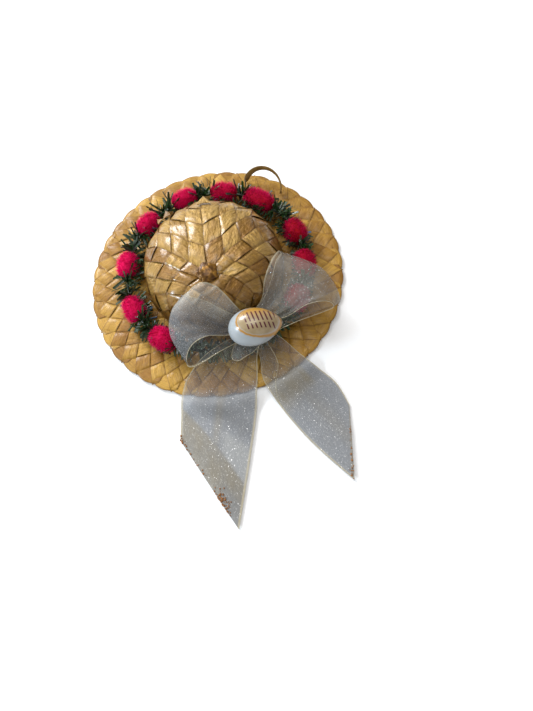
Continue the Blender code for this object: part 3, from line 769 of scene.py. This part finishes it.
def lay_strip(batch, strip, plait, index, relief, dice):
    """Bend one strip over its own cell, with its ends under the neighbours."""
    (first, second, third, fourth), tone = plait.cells[index]
    start, end = (first, fourth), (second, third)
    rows = [plait.beyond(index, start, end), plait.station(*start), plait.station(*end),
            plait.beyond(index, end, start)]
    width = np.linalg.norm(rows[1][0] + rows[2][0] - rows[1][1] - rows[2][1]) / 2
    length = np.linalg.norm(rows[2][0] + rows[2][1] - rows[1][0] - rows[1][1]) / 2
    tilt = dice.uniform(-0.36, 0.36) * MM
    pitch = dice.uniform(-0.3, 0.3) * MM
    skew = dice.uniform(-0.04, 0.04)
    pucker = dice.uniform(0.02, 0.07) * MM
    phase = dice.uniform(0.0, 6.3)
    camber = dice.uniform(0.1, 0.22) * MM
    shift = dice.uniform(0.0, 50.0)

    def bent(x, y, z):
        along = -0.5 + 2.0 * y
        across = 0.5 + (x - 0.5) * STRIP_COVER + skew * (along - 0.5)
        span = min(max(int(math.floor(along)) + 1, 0), 2)
        left, right, left_normal, right_normal = lerp(rows[span], rows[span + 1], along + 1 - span)
        normal = lerp(left_normal, right_normal, across)
        normal = normal / np.linalg.norm(normal)
        middle = max(0.0, 1.0 - abs(along - 0.5) * 1.3)
        side = 2.0 * x - 1.0
        height = STRIP_LEVEL + STRIP_SWING * lerp(1.0, weave_height(along), relief)
        bumps = tilt * side + pitch * (2.0 * along - 1.0) + camber * (1.0 - side * side)
        height += middle * relief * (bumps + pucker * math.sin(9.0 * side + phase))
        height += z * STRIP_THICKNESS * (1.0 - 0.45 * side ** 4)
        # edge: nearness to the strip's margins and to its ends under the neighbours, which the straw finish
        # darkens as painted shade.
        edge = max(abs(side), min(abs(along - 0.5) * 1.15, 1.0))
        spot = lerp(left, right, across) + normal * height
        return spot, (across * width / MM, along * length / MM + shift), edge

    batch.bend(strip, tone, bent)


def lay_fold(batch, strip, outer_left, outer_right, tone, dice):
    """One fold of the brim's edge: it starts below the fold before it and ends over the next."""
    out = (outer_left + outer_right) / 2 - np.array(HAT)
    out[2] = 0.0
    out = out / np.linalg.norm(out)
    length = np.linalg.norm(outer_right - outer_left)
    shift = dice.uniform(0.0, 50.0)
    lift = dice.uniform(-0.1, 0.1) * MM

    def bent(x, y, z):
        along = -0.34 + 1.62 * y
        bulge = math.cos(math.pi * (along - 0.5) / 1.7)
        side = 1.0 - x
        reach = FOLD_BULGE * bulge + FOLD_STEP * (along - 0.5) - FOLD_INSET
        reach -= FOLD_DEPTH * (0.5 + 0.5 * bulge) * side
        rise = 0.42 * MM * math.sin(0.5 * math.pi * min(max(along, -0.3), 1.3)) + lift - 0.15 * MM
        round_off = math.sqrt(max(1.0 - x ** 5, 0.0))
        thick = lerp(0.3 * MM, 1.12 * MM, x ** 0.7) * lerp(0.3, 1.0, round_off)
        top = rise - 0.5 * MM * (1.0 - round_off) - 0.3 * MM * side ** 2
        height = top if z > 0 else max(top - thick, FOLD_UNDERSIDE)
        spot = lerp(outer_left, outer_right, along) + out * reach + np.array((0.0, 0.0, height))
        edge = max(abs(2 * x - 1), abs(along - 0.5) * 1.2)
        return spot, (x * FOLD_DEPTH / MM, along * length / MM + shift), edge

    batch.bend(strip, tone, bent)


def make_straw_hat():
    dice = random.Random(5)
    deep = (76, 42, 10)
    straw = straw_finish("golden_straw", (195, 152, 62), (148, 103, 26), deep, 0.25, 0.6 * MM, 0.05)
    glossy_straw = straw_finish("varnished_straw", (184, 148, 76), (134, 95, 32), deep, 0.75, 1.4 * MM, 0.26)
    plait = Plait()
    lay_crown(plait, dice)
    crown_cells = len(plait.cells)
    outer_ring, tones = lay_brim(plait, dice)
    crown, brim = Batch(), Batch()
    strip = unit_strip(6, 15)
    for index in range(len(plait.cells)):
        batch, relief = (crown, CROWN_RELIEF) if index < crown_cells else (brim, BRIM_RELIEF)
        lay_strip(batch, strip, plait, index, relief, dice)
    strip = unit_strip(7, 10)
    for index in range(BRIM_STRIPS):
        lay_fold(brim, strip, outer_ring[index - 1], outer_ring[index], tones[index], dice)
    crown = crown.make("crown_plait", glossy_straw, "straw", STRIP_CREASE)
    brim = brim.make("brim_plait", straw, "straw", STRIP_CREASE)
    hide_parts("woven_hat")
    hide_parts("woven_hat")
    make_button()
    make_tips(glossy_straw, dice)


def make_button():
    """The five-sided gummed button at the plait's centre."""
    button = primitive("crown_button", bpy.ops.mesh.primitive_cylinder_add, vertices=5, radius=BUTTON_RADIUS,
                       depth=BUTTON_DEPTH)
    apply_modifier(button, "BEVEL", width=0.35 * MM, segments=3, limit_method="NONE")
    apply_modifier(button, "SUBSURF", levels=3, render_levels=3)
    for vertex in button.data.vertices:
        middle = max(1.0 - math.hypot(vertex.co.x, vertex.co.y) / BUTTON_RADIUS, 0.0)
        vertex.co.z += BUTTON_DOME * ease(middle * 1.4)
    spot = crown_point(0.0, 0.0) + UP * 0.35 * MM
    turn = Matrix.Rotation(math.radians(PLAIT_TURN), 4, "Z")
    lean = Matrix.Rotation(math.radians(6.0), 4, "X")
    gum = mottled_finish("brown_gum", 420.0, (72, 44, 12), (152, 108, 38), (0.52, 0.2), (0.8 * MM, 0.9),
                         Roughness=0.3, Coat_Weight=0.15, Coat_Roughness=0.2, Specular_IOR_Level=0.3,
                         Metallic=0.45)
    dress(button, gum, "straw", Matrix.Translation(spot) @ lean @ turn)


def make_tips(straw, dice):
    """Cut strip ends that stick out of the crown's shoulder at the back."""
    strip = unit_strip(4, 8)
    batch = Batch()
    tips = ((136.0, 0.60, 5.6, 3.2, -20.0), (142.0, 0.63, 4.8, 2.6, -4.0), (97.0, 0.53, 3.9, 4.6, 0.0))
    for azimuth, share, length, base_width, turn in tips:
        foot = crown_point(share, azimuth)
        normal = crown_normal(share, azimuth)
        down = (crown_point(share + 0.02, azimuth) - foot).normalized()
        side = normal.cross(down).normalized()
        heading = down * math.cos(math.radians(turn)) + side * math.sin(math.radians(turn))
        cross = normal.cross(heading).normalized()

        def bent(x, y, z):
            width = base_width * MM * (1.0 - y ** 1.8) + 0.25 * MM
            rise = 0.45 * MM + 0.9 * MM * y ** 1.5 + 0.35 * MM * math.cos(math.pi * (x - 0.5))
            rise += z * STRIP_THICKNESS
            spot = foot + heading * (length * MM * y) + cross * ((x - 0.5) * width) + normal * rise
            return spot, (x * base_width, y * length), abs(2 * x - 1) * 0.8

        batch.bend(strip, dice.random(), bent)
    batch.make("crown_strip_tips", straw, "straw", STRIP_CREASE)


# Garland

def garland_frame(azimuth):
    """A point of the garland's ring, with its outward and forward directions."""
    outward = degrees_vector(azimuth)
    place = HAT + GARLAND_CENTRE + outward * GARLAND_RADIUS + UP * GARLAND_Z
    return place, outward, UP.cross(outward)


def arc_degrees(length):
    return math.degrees(length / GARLAND_RADIUS)


def tuft_places():
    """Azimuth and length of each tuft, set along the stem with the clear gaps between them."""
    places = [(FIRST_TUFT_AZIMUTH, TUFT_LENGTHS[0])]
    for gap, before, after in zip(TUFT_GAPS, TUFT_LENGTHS, TUFT_LENGTHS[1:]):
        places.append((places[-1][0] + arc_degrees((before + after) / 2 + gap), after))
    return places


def keep_clear(spot, low=WOVEN_TOP + 0.1 * MM):
    """Hold a point of the garland out of the crown and above the brim."""
    level = Vector((spot.x, spot.y, 0.0)) - HAT - CROWN_OFFSET
    nearest = CROWN_RADIUS + 0.5 * MM
    if spot.z < 0.75 * CROWN_HEIGHT and level.length < nearest:
        moved = HAT + CROWN_OFFSET + level.normalized() * nearest
        spot = Vector((moved.x, moved.y, spot.z))
    return Vector((spot.x, spot.y, max(spot.z, low)))


def spike(points, faces, uv, base, tip, bend, width, strand):
    """A thin three-sided fibre from base to tip, curved through a middle ring."""
    heading = (tip - base).normalized()
    side = heading.orthogonal().normalized()
    start = len(points)
    for share, scale in ((0.0, 1.0), (0.55, 0.75)):
        centre = base.lerp(tip, share) + bend * (4.0 * share * (1.0 - share))
        points += ring_points(centre, side, heading.cross(side), width * scale / 2, 3)
        uv += [(strand, share)] * 3
    points.append(tip)
    uv.append((strand, 1.0))
    faces.append((start + 2, start + 1, start))
    for corner in range(3):
        following = (corner + 1) % 3
        faces.append((start + corner, start + following, start + 3 + following, start + 3 + corner))
        faces.append((start + 3 + corner, start + 3 + following, start + 6))


def tuft_station(azimuth, length, along):
    """A place on the stem within a tuft, along it from -1 to 1, and the tuft's swell there."""
    place, outward, forward = garland_frame(azimuth + along * arc_degrees(length) / 2 * 0.9)
    return place, outward, forward, max(1.0 - abs(along) ** 2.6, 0.0) ** 0.5


def make_tuft(number, azimuth, length, material, dice):
    """A fluffy barrel of fibres that stand out all round the stem."""
    points = []
    sides, stations = 20, 14
    for station in range(stations + 1):
        place, outward, forward, swell = tuft_station(azimuth, length, -1.0 + 2.0 * station / stations)
        for side in range(sides):
            angle = 2.0 * math.pi * side / sides
            reach = (TUFT_CORE + (0.74 * TUFT_RADIUS - TUFT_CORE) * swell) * (1.0 + dice.uniform(-0.07, 0.07))
            points.append(place + outward * (reach * math.cos(angle)) + UP * (reach * math.sin(angle)))
    faces = tube_faces(stations + 1, sides)
    uv = [(0.5, 0.25)] * len(points)
    for _ in range(int(FIBRES_PER_MM * length / MM)):
        along = dice.uniform(-1.0, 1.0)
        place, outward, forward, swell = tuft_station(azimuth, length, along)
        angle = dice.uniform(0.0, 2.0 * math.pi)
        ray = outward * math.cos(angle) + UP * math.sin(angle)
        lean = forward * (0.42 * along + dice.uniform(-0.3, 0.3))
        heading = (ray + lean).normalized()
        radius = TUFT_CORE + (TUFT_RADIUS - TUFT_CORE) * swell
        base = place + ray * radius * 0.55
        tip = place + ray * radius * 0.6 + heading * radius * dice.uniform(0.28, 0.56)
        bend = Vector([dice.uniform(-1, 1) for _ in range(3)]) * 0.16 * MM
        width = dice.uniform(0.09, 0.16) * MM
        spike(points, faces, uv, keep_clear(base), keep_clear(tip), bend, width, dice.random())
    name = "tuft_%02d" % number
    piece = make_piece(name + "_chenille", points, faces, material, "chenille", uv)
    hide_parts(name)


def add_blade(batch, strip, azimuth, angle, length, dice):
    """A flat foil blade that leaves the stem, curls and ends in a blunt cut."""
    place, outward, forward = garland_frame(azimuth)
    sweep = dice.uniform(-0.9, 0.9)
    heading = (outward * math.cos(angle) + UP * math.sin(angle) + forward * sweep).normalized()
    cross = heading.cross(Vector([dice.uniform(-1, 1) for _ in range(3)])).normalized()
    normal = heading.cross(cross)
    curl = dice.uniform(-0.22, 0.22)
    width = dice.uniform(0.65, 1.05) * MM

    def bent(x, y, z):
        turn = 0.5 * curl * y
        spread = width * (0.8 + 0.2 * math.sin(math.pi * y))
        side = cross * math.cos(turn) + normal * math.sin(turn)
        spot = place + heading * (length * y) + normal * (curl * length * y * y) + side * ((x - 0.5) * spread)
        spot = keep_clear(spot + normal * z * BLADE_THICKNESS,
                          WOVEN_TOP + 0.15 * MM + (z + 0.5) * BLADE_THICKNESS)
        from_axis = math.degrees(math.atan2(spot.y - HAT.y, spot.x - HAT.x))
        if TAIL_COVER[0] < from_axis < TAIL_COVER[1]:
            spot.z = min(spot.z, drape_height(spot) - 0.9 * MM + (z - 0.5) * BLADE_THICKNESS)
        return spot, (x, y * length / MM), 0.0

    batch.bend(strip, dice.random(), bent)


def make_garland():
    """Ten tufts on a wire stem, with foil blades all round it."""
    dice = random.Random(11)
    foil = foil_finish()
    chenille = chenille_finish()
    tufts = tuft_places()
    for number, (azimuth, length) in enumerate(tufts, start=1):
        make_tuft(number, azimuth, length, chenille, dice)
    stem = primitive("garland_stem", bpy.ops.mesh.primitive_torus_add, major_segments=180, minor_segments=8,
                     major_radius=GARLAND_RADIUS, minor_radius=STEM_RADIUS)
    dress(stem, foil, "greenery", Matrix.Translation(HAT + GARLAND_CENTRE + UP * GARLAND_Z), tone=0.1)
    strip = unit_strip(1, 4)
    batch = Batch()
    steps = int(360.0 / arc_degrees(BLADE_STEP))
    for step in range(steps):
        azimuth = 360.0 * step / steps + dice.uniform(-0.3, 0.3)
        wrapped = (azimuth + 180.0) % 360.0 - 180.0
        nearest = min(abs((azimuth - place + 180.0) % 360.0 - 180.0) - arc_degrees(length) / 2
                      for place, length in tufts)
        angle = dice.uniform(-0.5, 1.0) * math.pi
        length = dice.uniform(3.6, 7.0) * MM
        if nearest < arc_degrees(-0.8 * MM):
            angle = dice.choice((dice.uniform(-0.3, -0.08), dice.uniform(0.8, 1.12),
                                 dice.uniform(0.9, 1.12))) * math.pi
            length = dice.uniform(4.8, 7.2) * MM
        if BOW_COVER[0] < wrapped < BOW_COVER[1]:
            length = min(length, 3.9 * MM / max(math.sin(angle), 0.8))
        add_blade(batch, strip, azimuth, angle, length, dice)
    greenery = batch.make("garland_blades", foil, "greenery", 50.0)
    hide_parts("garland_greenery")


# Bow

def loop_place(fold, knot_spread, rim, fold_rise, puff, swell, mouth, opening):
    """A loop of the bow as a function of its place along and across: out above, back below.

    fold is the line of its outer end in ribbon widths. swell, mouth and opening are in millimetres.
    """
    line = [flat_vector(x, y, RIBBON_WIDTH) for x, y in fold]
    swell, mouth, opening = (flat_vector(x, y, MM) for x, y in (swell, mouth, opening))
    raised_edge = Vector((knot_spread[0].x, rim, 0.0))

    def place_at(along, across):
        reach = math.sin(math.pi * along) ** 0.9
        wave = math.sin(2.0 * math.pi * along)
        near_edge = raised_edge if along < 0.5 else knot_spread[0]
        spread = near_edge.lerp(knot_spread[1], across)
        level = KNOT_LEVEL + spread * (1.0 - reach) + smooth_line(line, across) * reach
        level += swell * (across ** 2 * math.sin(math.pi * reach))
        level += (mouth * (1.0 - across) ** 3 + opening * across ** 3) * (wave * reach)
        fold_height = FOLD_REST + lerp(fold_rise[0], fold_rise[1], across)
        past_shell = ease((reach - 0.3) / 0.6)
        if along < 0.5:
            height = lerp(KNOT.z + 0.33 * KNOT_HEIGHT, fold_height, past_shell)
            height += lerp(puff[0], puff[1], across) * wave * ease((reach - 0.25) / 0.4)
        else:
            height = lerp(KNOT.z - 0.10 * KNOT_HEIGHT, FOLD_REST, ease(reach / 0.6))
            height += (fold_height - FOLD_REST) * past_shell ** 1.3
        turn = 9.0 * math.pi * across + (0.0 if along < 0.5 else 1.5)
        pleat = 0.55 * MM * (1.0 - ease(reach * 0.85)) * math.cos(turn)
        ripple = 0.16 * MM * math.sin(7.0 * across + 5.0 * along) * ease(reach * 2.0 - 0.6)
        return clear_of_crown(level + UP * (height + pleat + ripple))

    return place_at


def drape_height(place):
    """Height of the ribbon as it leaves the knot, crosses the brim and meets the table."""
    distance = (Vector((place.x, place.y, 0.0)) - HAT).length
    half = RIBBON_THICKNESS / 2
    knot_height = KNOT_Z - 0.25 * KNOT_HEIGHT
    brim_height = WOVEN_TOP + TOUCH_GAP + half
    table_height = TOUCH_GAP / 2 + half
    leaving = GARLAND_RADIUS + 1.2 * MM
    fall = ease((distance - leaving) / (BRIM_RADIUS - 2.0 * MM - leaving))
    drop = ease((distance - BRIM_RADIUS - 1.0 * MM) / DRAPE_RUN)
    return lerp(lerp(knot_height, brim_height, fall), table_height, drop)


def tail_place(left, right, phase):
    """A tail of the bow as a function of its place along and across, from its edges in ribbon widths."""
    left_line, right_line = ([KNOT_LEVEL + flat_vector(x, y, RIBBON_WIDTH) for x, y in edge]
                             for edge in (left, right))

    def place_at(along, across):
        level = smooth_line(left_line, along).lerp(smooth_line(right_line, along), across)
        lift = 0.5 * MM * math.sin(math.pi * across) * ease(along * 3.0)
        pleat = TAIL_PLEAT * (1.0 - ease(along * 2.6)) * math.cos(6.0 * math.pi * across + phase)
        ripple = 0.2 * MM * (1.0 + math.sin(4.0 * across + 6.0 * along + phase)) * ease(along * 2.0)
        return level + UP * (drape_height(level) + lift + pleat + ripple)

    return place_at


def evenly(value):
    """A shade that is the same all over a stretch of ribbon."""
    return lambda share, across: value


def make_ribbon(name, place_at, finishes, shades, left_edge=lambda share: 0.0):
    """A sheer strip of cloth with a stiff thread along each edge.

    Its shades are functions of the place on it: how beige it is, how much painted shade or painted light it
    gets, and how dense it is there.
    """
    material, thread = finishes
    shares = [row / RIBBON_ROWS for row in range(RIBBON_ROWS + 1)]
    places = [(share, column / RIBBON_COLUMNS) for share in shares for column in range(RIBBON_COLUMNS + 1)]
    points = [place_at(*place) for place in places]
    middle = [place_at(share, 0.5) for share in shares]
    gone = np.concatenate(([0.0], np.cumsum([(b - a).length for a, b in zip(middle, middle[1:])])))
    uv = [(across * RIBBON_WIDTH / MM, length / MM)
          for (_, across), length in zip(places, np.repeat(gone, RIBBON_COLUMNS + 1))]
    warm, dim, dense = ([shade(*place) for place in places] for shade in shades)
    distances = [(Vector((spot.x, spot.y, 0.0)) - HAT).length for spot in points]
    off_hat = [max(ease((distance - BRIM_RADIUS + 3.0 * MM) / (7.0 * MM)), body)
               for distance, body in zip(distances, dense)]
    width = RIBBON_COLUMNS + 1
    faces = [(corner, corner + 1, corner + width + 1, corner + width)
             for row in range(RIBBON_ROWS) for corner in range(row * width, row * width + RIBBON_COLUMNS)]
    cloth = make_piece(name, points, faces, material, "organza", uv, closed=False,
                       off_hat=off_hat, warm=warm, dim=dim)
    for label, edge in (("left", left_edge), ("right", lambda share: 1.0)):
        line = [place_at(share, edge(share)) for share in shares]
        make_tube("%s_%s_thread" % (name, label), line, EDGE_THREAD_RADIUS, thread)


def past_crease(share, across):
    """0 before the left tail's slanting crease and 1 past it."""
    return ease((share - 0.825 - 0.06 * across) / 0.014)


def left_tail_warmth(share, across):
    """The end of the left tail is beige past its crease, with a beige streak before it."""
    streak = 0.6 * ease(1.0 - abs(across - 0.52) / 0.09) * ease((share - 0.55) / 0.06)
    pale_tip = ease((across - 0.66) / 0.12) * ease((share - 0.92) / 0.03)
    over_hat = ease((0.52 - share) / 0.08)
    return max(past_crease(share, across) * (1.0 - 0.6 * pale_tip), streak, over_hat)


def left_tail_dim(share, across):
    """Painted shade darkens the left tail in its dip past the brim and a little past its crease, and painted
    light brightens its right edge before the crease.
    """
    dip = 0.3 * ease(1.0 - abs(share - 0.765) / 0.06) * ease((across - 0.1) / 0.2)
    lit = 0.16 * ease((share - 0.78) / 0.05) * ease((across - 0.58) / 0.1)
    return dip + 0.08 * past_crease(share, across) - lit * (1.0 - past_crease(share, across))


def loop_dim(inside, lit):
    """A loop's lower half gets painted shade, as it lies in the shade of its upper half, which gets painted
    light along its far edge.
    """
    def dim_at(share, across):
        shaded = inside * ease((share - 0.5) / 0.12) * ease((1.0 - share) / 0.1)
        return shaded * (1.0 - ease((across - 0.5) / 0.3)) - lit * ease((across - 0.45) / 0.4)

    return dim_at


def left_loop_body(share, across):
    return 0.24 - 0.2 * ease((across - 0.6) / 0.3)


def right_tail_warmth(share, across):
    """The right tail is beige in its upper part, but for its right edge, and along its cut."""
    upper = ease((0.68 - share) / 0.1) * ease((0.82 - across) / 0.1)
    cut = ease((share - 0.965) / 0.02)
    return max(upper, cut, 0.3 * ease(1.0 - abs(across - 0.5) / 0.2))


def folded_edge(share):
    """Where the right tail's left edge lies on it, folded over near the knot."""
    return 0.44 * (1.0 - ease((share - 0.36) / 0.28))


def right_tail_body(share, across):
    """The right tail is double, and so denser, where its left edge is folded over."""
    return 0.26 * ease((folded_edge(share) - across) / 0.04)


def knot_wrap(x, y, z):
    """Where a point of a unit ball goes on the wrapped knot, drawn out on one side as its slack."""
    pleat = 1.0 + 0.045 * math.cos(11.0 * x + 1.2 * y) * (1.0 - x * x)
    spot = Vector((x * KNOT_LENGTH / 2, y * KNOT_WIDTH / 2 * pleat, z * KNOT_HEIGHT / 2 * pleat))
    share = max(WRAP_HEADING.dot((x, y, 0.0)), 0.0) ** 1.5
    spot.z *= 1.0 - 0.6 * share
    return spot + WRAP_HEADING * (WRAP_REACH * share) - UP * (WRAP_DROP * share)


def make_knot(material, thread):
    """The wrap of ribbon round the bow's middle, with the slack of the wrap below the shell."""
    knot = primitive("bow_knot", bpy.ops.mesh.primitive_uv_sphere_add, segments=64, ring_count=32, radius=1.0)
    for vertex in knot.data.vertices:
        vertex.co = knot_wrap(*vertex.co)
    layer = knot.data.uv_layers[0]
    uv = np.empty(len(layer.data) * 2, np.float32)
    layer.data.foreach_get("uv", uv)
    layer.data.foreach_set("uv", uv * RIBBON_WIDTH / MM)
    dress(knot, material, "organza", Matrix.Translation(KNOT) @ SHELL_TURN, off_hat=-0.2, warm=0.3, dim=0.0)
    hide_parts("ribbon_bow")
    slack = []
    for step in range(31):
        swing = math.radians(lerp(WRAP_THREAD[0], WRAP_THREAD[1], step / 30))
        slack.append(KNOT + SHELL_TURN @ knot_wrap(math.cos(swing), math.sin(swing), 0.0))
    make_tube("bow_knot_edge_thread", slack, 0.1 * MM, thread)


def make_bow():
    """The knot, two loops and two tails of one ribbon. Gives both tails, for the crumbs on them."""
    right_mouth = Vector((0.21 * KNOT_LENGTH, -0.23 * KNOT_WIDTH, 0.0))
    left_mouth = Vector((-right_mouth.x, right_mouth.y, 0.0))
    far = Vector((0.0, 0.28 * KNOT_WIDTH, 0.0))
    right_far = far - flat_vector(2.6, 0.0, MM)
    right_loop = loop_place(((1.08, 0.28), (1.17, 0.42), (0.94, 0.82), (0.36, 1.09)),
                            (right_mouth, right_far), 2.3 * MM, (0.2 * MM, 3.6 * MM), (LOOP_PUFF, LOOP_PUFF),
                            (-0.6, 0.3), (0.0, 0.4), (0.4, 0.0))
    left_loop = loop_place(((-0.95, -0.48), (-1.18, -0.12), (-1.14, 0.20), (-0.88, 0.42)), (left_mouth, far),
                           1.6 * MM, (0.2 * MM, 9.6 * MM), (LOOP_PUFF, 0.4 * LOOP_PUFF),
                           (1.8, 2.2), (0.3, 3.6), (1.8, 3.0))
    left_tail = tail_place(((-0.10, 0.0), (-0.50, -0.16), (-0.93, -0.50), (-1.09, -0.78), (-1.10, -1.46)),
                           ((0.12, 0.0), (0.0, -0.28), (-0.02, -0.60), (-0.06, -1.26), (-0.26, -2.64)), 0.0)
    right_tail = tail_place(((-0.12, 0.0), (0.02, -0.32), (0.10, -0.70), (0.64, -1.42), (1.27, -2.02)),
                            ((0.12, 0.05), (0.42, -0.12), (0.75, -0.38), (1.08, -0.66), (1.26, -1.0)), 2.0)
    thread = mottled_finish("ribbon_edge_thread", 1800.0, (128, 118, 90), (212, 200, 170),
                            Roughness=0.35, Metallic=0.35)
    finishes = (organza_finish(), thread)
    make_knot(*finishes)
    make_ribbon("right_loop", right_loop, finishes,
                (evenly(0.75), loop_dim(0.35, 0.0), evenly(0.02)))
    make_ribbon("left_loop", left_loop, finishes,
                (evenly(0.1), loop_dim(0.9, 0.7), left_loop_body))
    make_ribbon("left_tail", left_tail, finishes,
                (left_tail_warmth, left_tail_dim, evenly(0.0)))
    make_ribbon("right_tail", right_tail, finishes,
                (right_tail_warmth, evenly(0.0), right_tail_body), left_edge=folded_edge)
    return left_tail, right_tail


def make_crumbs(left_tail, right_tail):
    """Rusty crumbs caught at the cut ends of the tails."""
    dice = random.Random(23)
    crumb = primitive("crumb", bpy.ops.mesh.primitive_ico_sphere_add, subdivisions=1, radius=1.0)
    shape, faces = take_apart(crumb)
    batch = Batch()
    clusters = ((left_tail, 0.985, 0.74, 0.018, 0.075, 64), (left_tail, 0.982, 0.02, 0.014, 0.03, 16),
                (left_tail, 0.99, 0.3, 0.008, 0.22, 12), (right_tail, 0.985, 0.3, 0.01, 0.2, 26))
    for place_at, share, across, share_spread, across_spread, count in clusters:
        for _ in range(count):
            place = (min(max(dice.gauss(share, share_spread), 0.5), 0.998),
                     min(max(dice.gauss(across, across_spread), 0.0), 1.0))
            size = dice.uniform(0.14, 0.42) * MM
            rough = shape * (size * np.array([dice.uniform(0.6, 1.3) for _ in range(3)]))
            rough = rough * np.array([dice.uniform(0.75, 1.2) for _ in shape])[:, None]
            batch.add(rough + np.array(place_at(*place) + UP * 0.1 * MM), faces, shape[:, :2], dice.random())
    rust = mottled_finish("rusty_crumbs", 1500.0, (84, 48, 20), (172, 116, 60), bump=(0.15 * MM, 0.6),
                          Roughness=0.8)
    batch.make("tail_crumbs", rust, "organza")


# Shell and hanging loop

def make_shell():
    """A cowrie with a swollen margin, a domed back and a toothed slit below."""
    ball = primitive("ball", bpy.ops.mesh.primitive_uv_sphere_add, segments=96, ring_count=64, radius=1.0)
    shape, faces = take_apart(ball)
    foot = KNOT_Z + KNOT_HEIGHT / 2 + TOUCH_GAP
    place = Matrix.Translation((KNOT.x, KNOT.y - 0.6 * MM, foot + SHELL_BASE)) @ SHELL_TURN
    points, uv = [], []
    for x, y, z in shape:
        taper = 1.0 - 0.12 * x - 0.3 * max(x, 0.0) ** 2.5
        margin = 0.035 * math.exp(-((z - 0.12) / 0.16) ** 2)
        rise = SHELL_HEIGHT - SHELL_BASE if z > 0.0 else SHELL_BASE
        spot = Vector((x * SHELL_LENGTH / 2 * (1.0 + 0.2 * margin),
                       y * taper * SHELL_WIDTH / 2 * (1.0 + margin), z * rise * (1.0 - 0.08 * x)))
        if z < 0.0:
            lip = math.exp(-(spot.y / (0.75 * MM)) ** 2) * (1.0 if abs(x) < 0.9 else 0.3)
            teeth = 0.5 + 0.5 * math.cos(spot.x / MM * 2.0 * math.pi / 1.15)
            ridge = math.exp(-((abs(spot.y) - 1.3 * MM) / (0.8 * MM)) ** 2)
            spot.z += lip * MM + 0.14 * MM * teeth * ridge
        points.append(place @ spot)
        uv.append((spot.x / MM, spot.y / MM))
    shell = make_piece("cowrie", points, faces, shell_finish(), "shell", uv)
    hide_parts("cowrie_shell")


def make_hanging_loop():
    """A strip of palm leaf bent into an arch, leaning out over the back edge of the brim."""
    straw = straw_finish("loop_straw", (150, 118, 60), (118, 88, 36), (64, 44, 16), 0.3, 0.5 * MM, 0.0)
    outward = degrees_vector(LOOP_AZIMUTH)
    sideways = UP.cross(outward)
    lean = math.radians(LOOP_LEAN)
    rising = outward * math.cos(lean) + UP * math.sin(lean)
    facing = sideways.cross(rising).normalized()
    foot_height = WOVEN_TOP + TOUCH_GAP + LOOP_STRIP_WIDTH / 2
    foot = HAT + outward * (BRIM_RADIUS - LOOP_SET_BACK) + UP * foot_height

    def bent(x, y, z):
        angle = math.pi * y
        inward = -(sideways * math.cos(angle) + rising * math.sin(angle))
        spot = foot + sideways * (LOOP_SPAN / 2 * math.cos(angle)) + rising * (LOOP_REACH * math.sin(angle))
        depth = (0.5 - z) * LOOP_STRIP_THICKNESS * (1.0 - 0.35 * abs(2 * x - 1) ** 3)
        twist = math.radians(lerp(62.0, 20.0, y) * math.sin(math.pi * min(4.0 * y, 4.0 - 4.0 * y, 0.5)))
        across = facing * math.cos(twist) + inward * math.sin(twist)
        through = inward * math.cos(twist) - facing * math.sin(twist)
        spot += across * ((x - 0.5) * LOOP_STRIP_WIDTH * lerp(1.25, 1.0, y)) + through * depth
        return spot, (x * LOOP_STRIP_WIDTH / MM, y * LOOP_STRIP_LENGTH / MM), abs(2 * x - 1) * 0.9

    batch = Batch()
    batch.bend(unit_strip(4, 40), LOOP_TONE, bent)
    loop = batch.make("straw_loop", straw, "loop_straw", STRIP_CREASE)
    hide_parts("hanging_loop")


# Studio

def add_softbox(name, place, size, power, tint):
    """A round soft light that points at the hat."""
    data = bpy.data.lights.new(name, "AREA")
    data.shape = "DISK"
    data.size = size
    data.energy = power
    data.color = tint
    lamp = link(name, data)
    lamp.location = place
    lamp.rotation_mode = "QUATERNION"
    lamp.rotation_quaternion = (HAT - Vector(place)).to_track_quat("-Z", "Y")


def make_studio():
    """A pale paper floor, four soft lights and a soft white room."""
    floor = primitive("floor", bpy.ops.mesh.primitive_plane_add, size=3.0, location=(0.0, 0.0, -0.2 * MM))
    paper = mottled_finish("pale_paper", 60.0, (238.6,) * 3, (243.4,) * 3, Roughness=0.85,
                           Specular_IOR_Level=0.2)
    floor.data.materials.append(paper)
    add_softbox("window", (-0.38, 0.49, 0.42), 0.3, 5.6, (0.97, 0.98, 1.0))
    add_softbox("left_pane", (-0.5, -0.1, 0.3), 0.13, 2.4, (0.75, 0.88, 1.0))
    add_softbox("overhead", (-0.05, 0.15, 0.8), 0.5, 2.4, (1.0, 0.98, 0.95))
    add_softbox("front_fill", (0.4, -0.6, 0.35), 0.5, 0.6, (1.0, 0.95, 0.88))
    bpy.context.scene.view_settings.view_transform = "Standard"
    world = bpy.data.worlds.new("soft_room")
    world.use_nodes = True
    background = world.node_tree.nodes["Background"]
    background.inputs["Color"].default_value = (1.0, 1.0, 1.0, 1.0)
    background.inputs["Strength"].default_value = 0.38
    bpy.context.scene.world = world


def make_camera():
    data = bpy.data.cameras.new("camera")
    data.sensor_width = 36.0
    data.lens = FOCAL_PIXELS / IMAGE_HEIGHT * data.sensor_width
    data.clip_start = 0.01
    data.clip_end = 10.0
    camera = link("camera", data)
    tilt = math.radians(CAMERA_TILT)
    view = degrees_vector(CAMERA_AZIMUTH, math.sin(tilt)) - UP * math.cos(tilt)
    up = (Vector((0.0, 1.0, 0.0)) - view * view.y).normalized()
    right = view.cross(up)
    camera.matrix_world = Matrix.Translation(CAMERA_PLACE) @ Matrix((right, up, -view)).transposed().to_4x4()
    bpy.context.scene.camera = camera


make_camera()
make_straw_hat()
make_garland()
tails = make_bow()
make_crumbs(*tails)
make_shell()
make_hanging_loop()
make_studio()
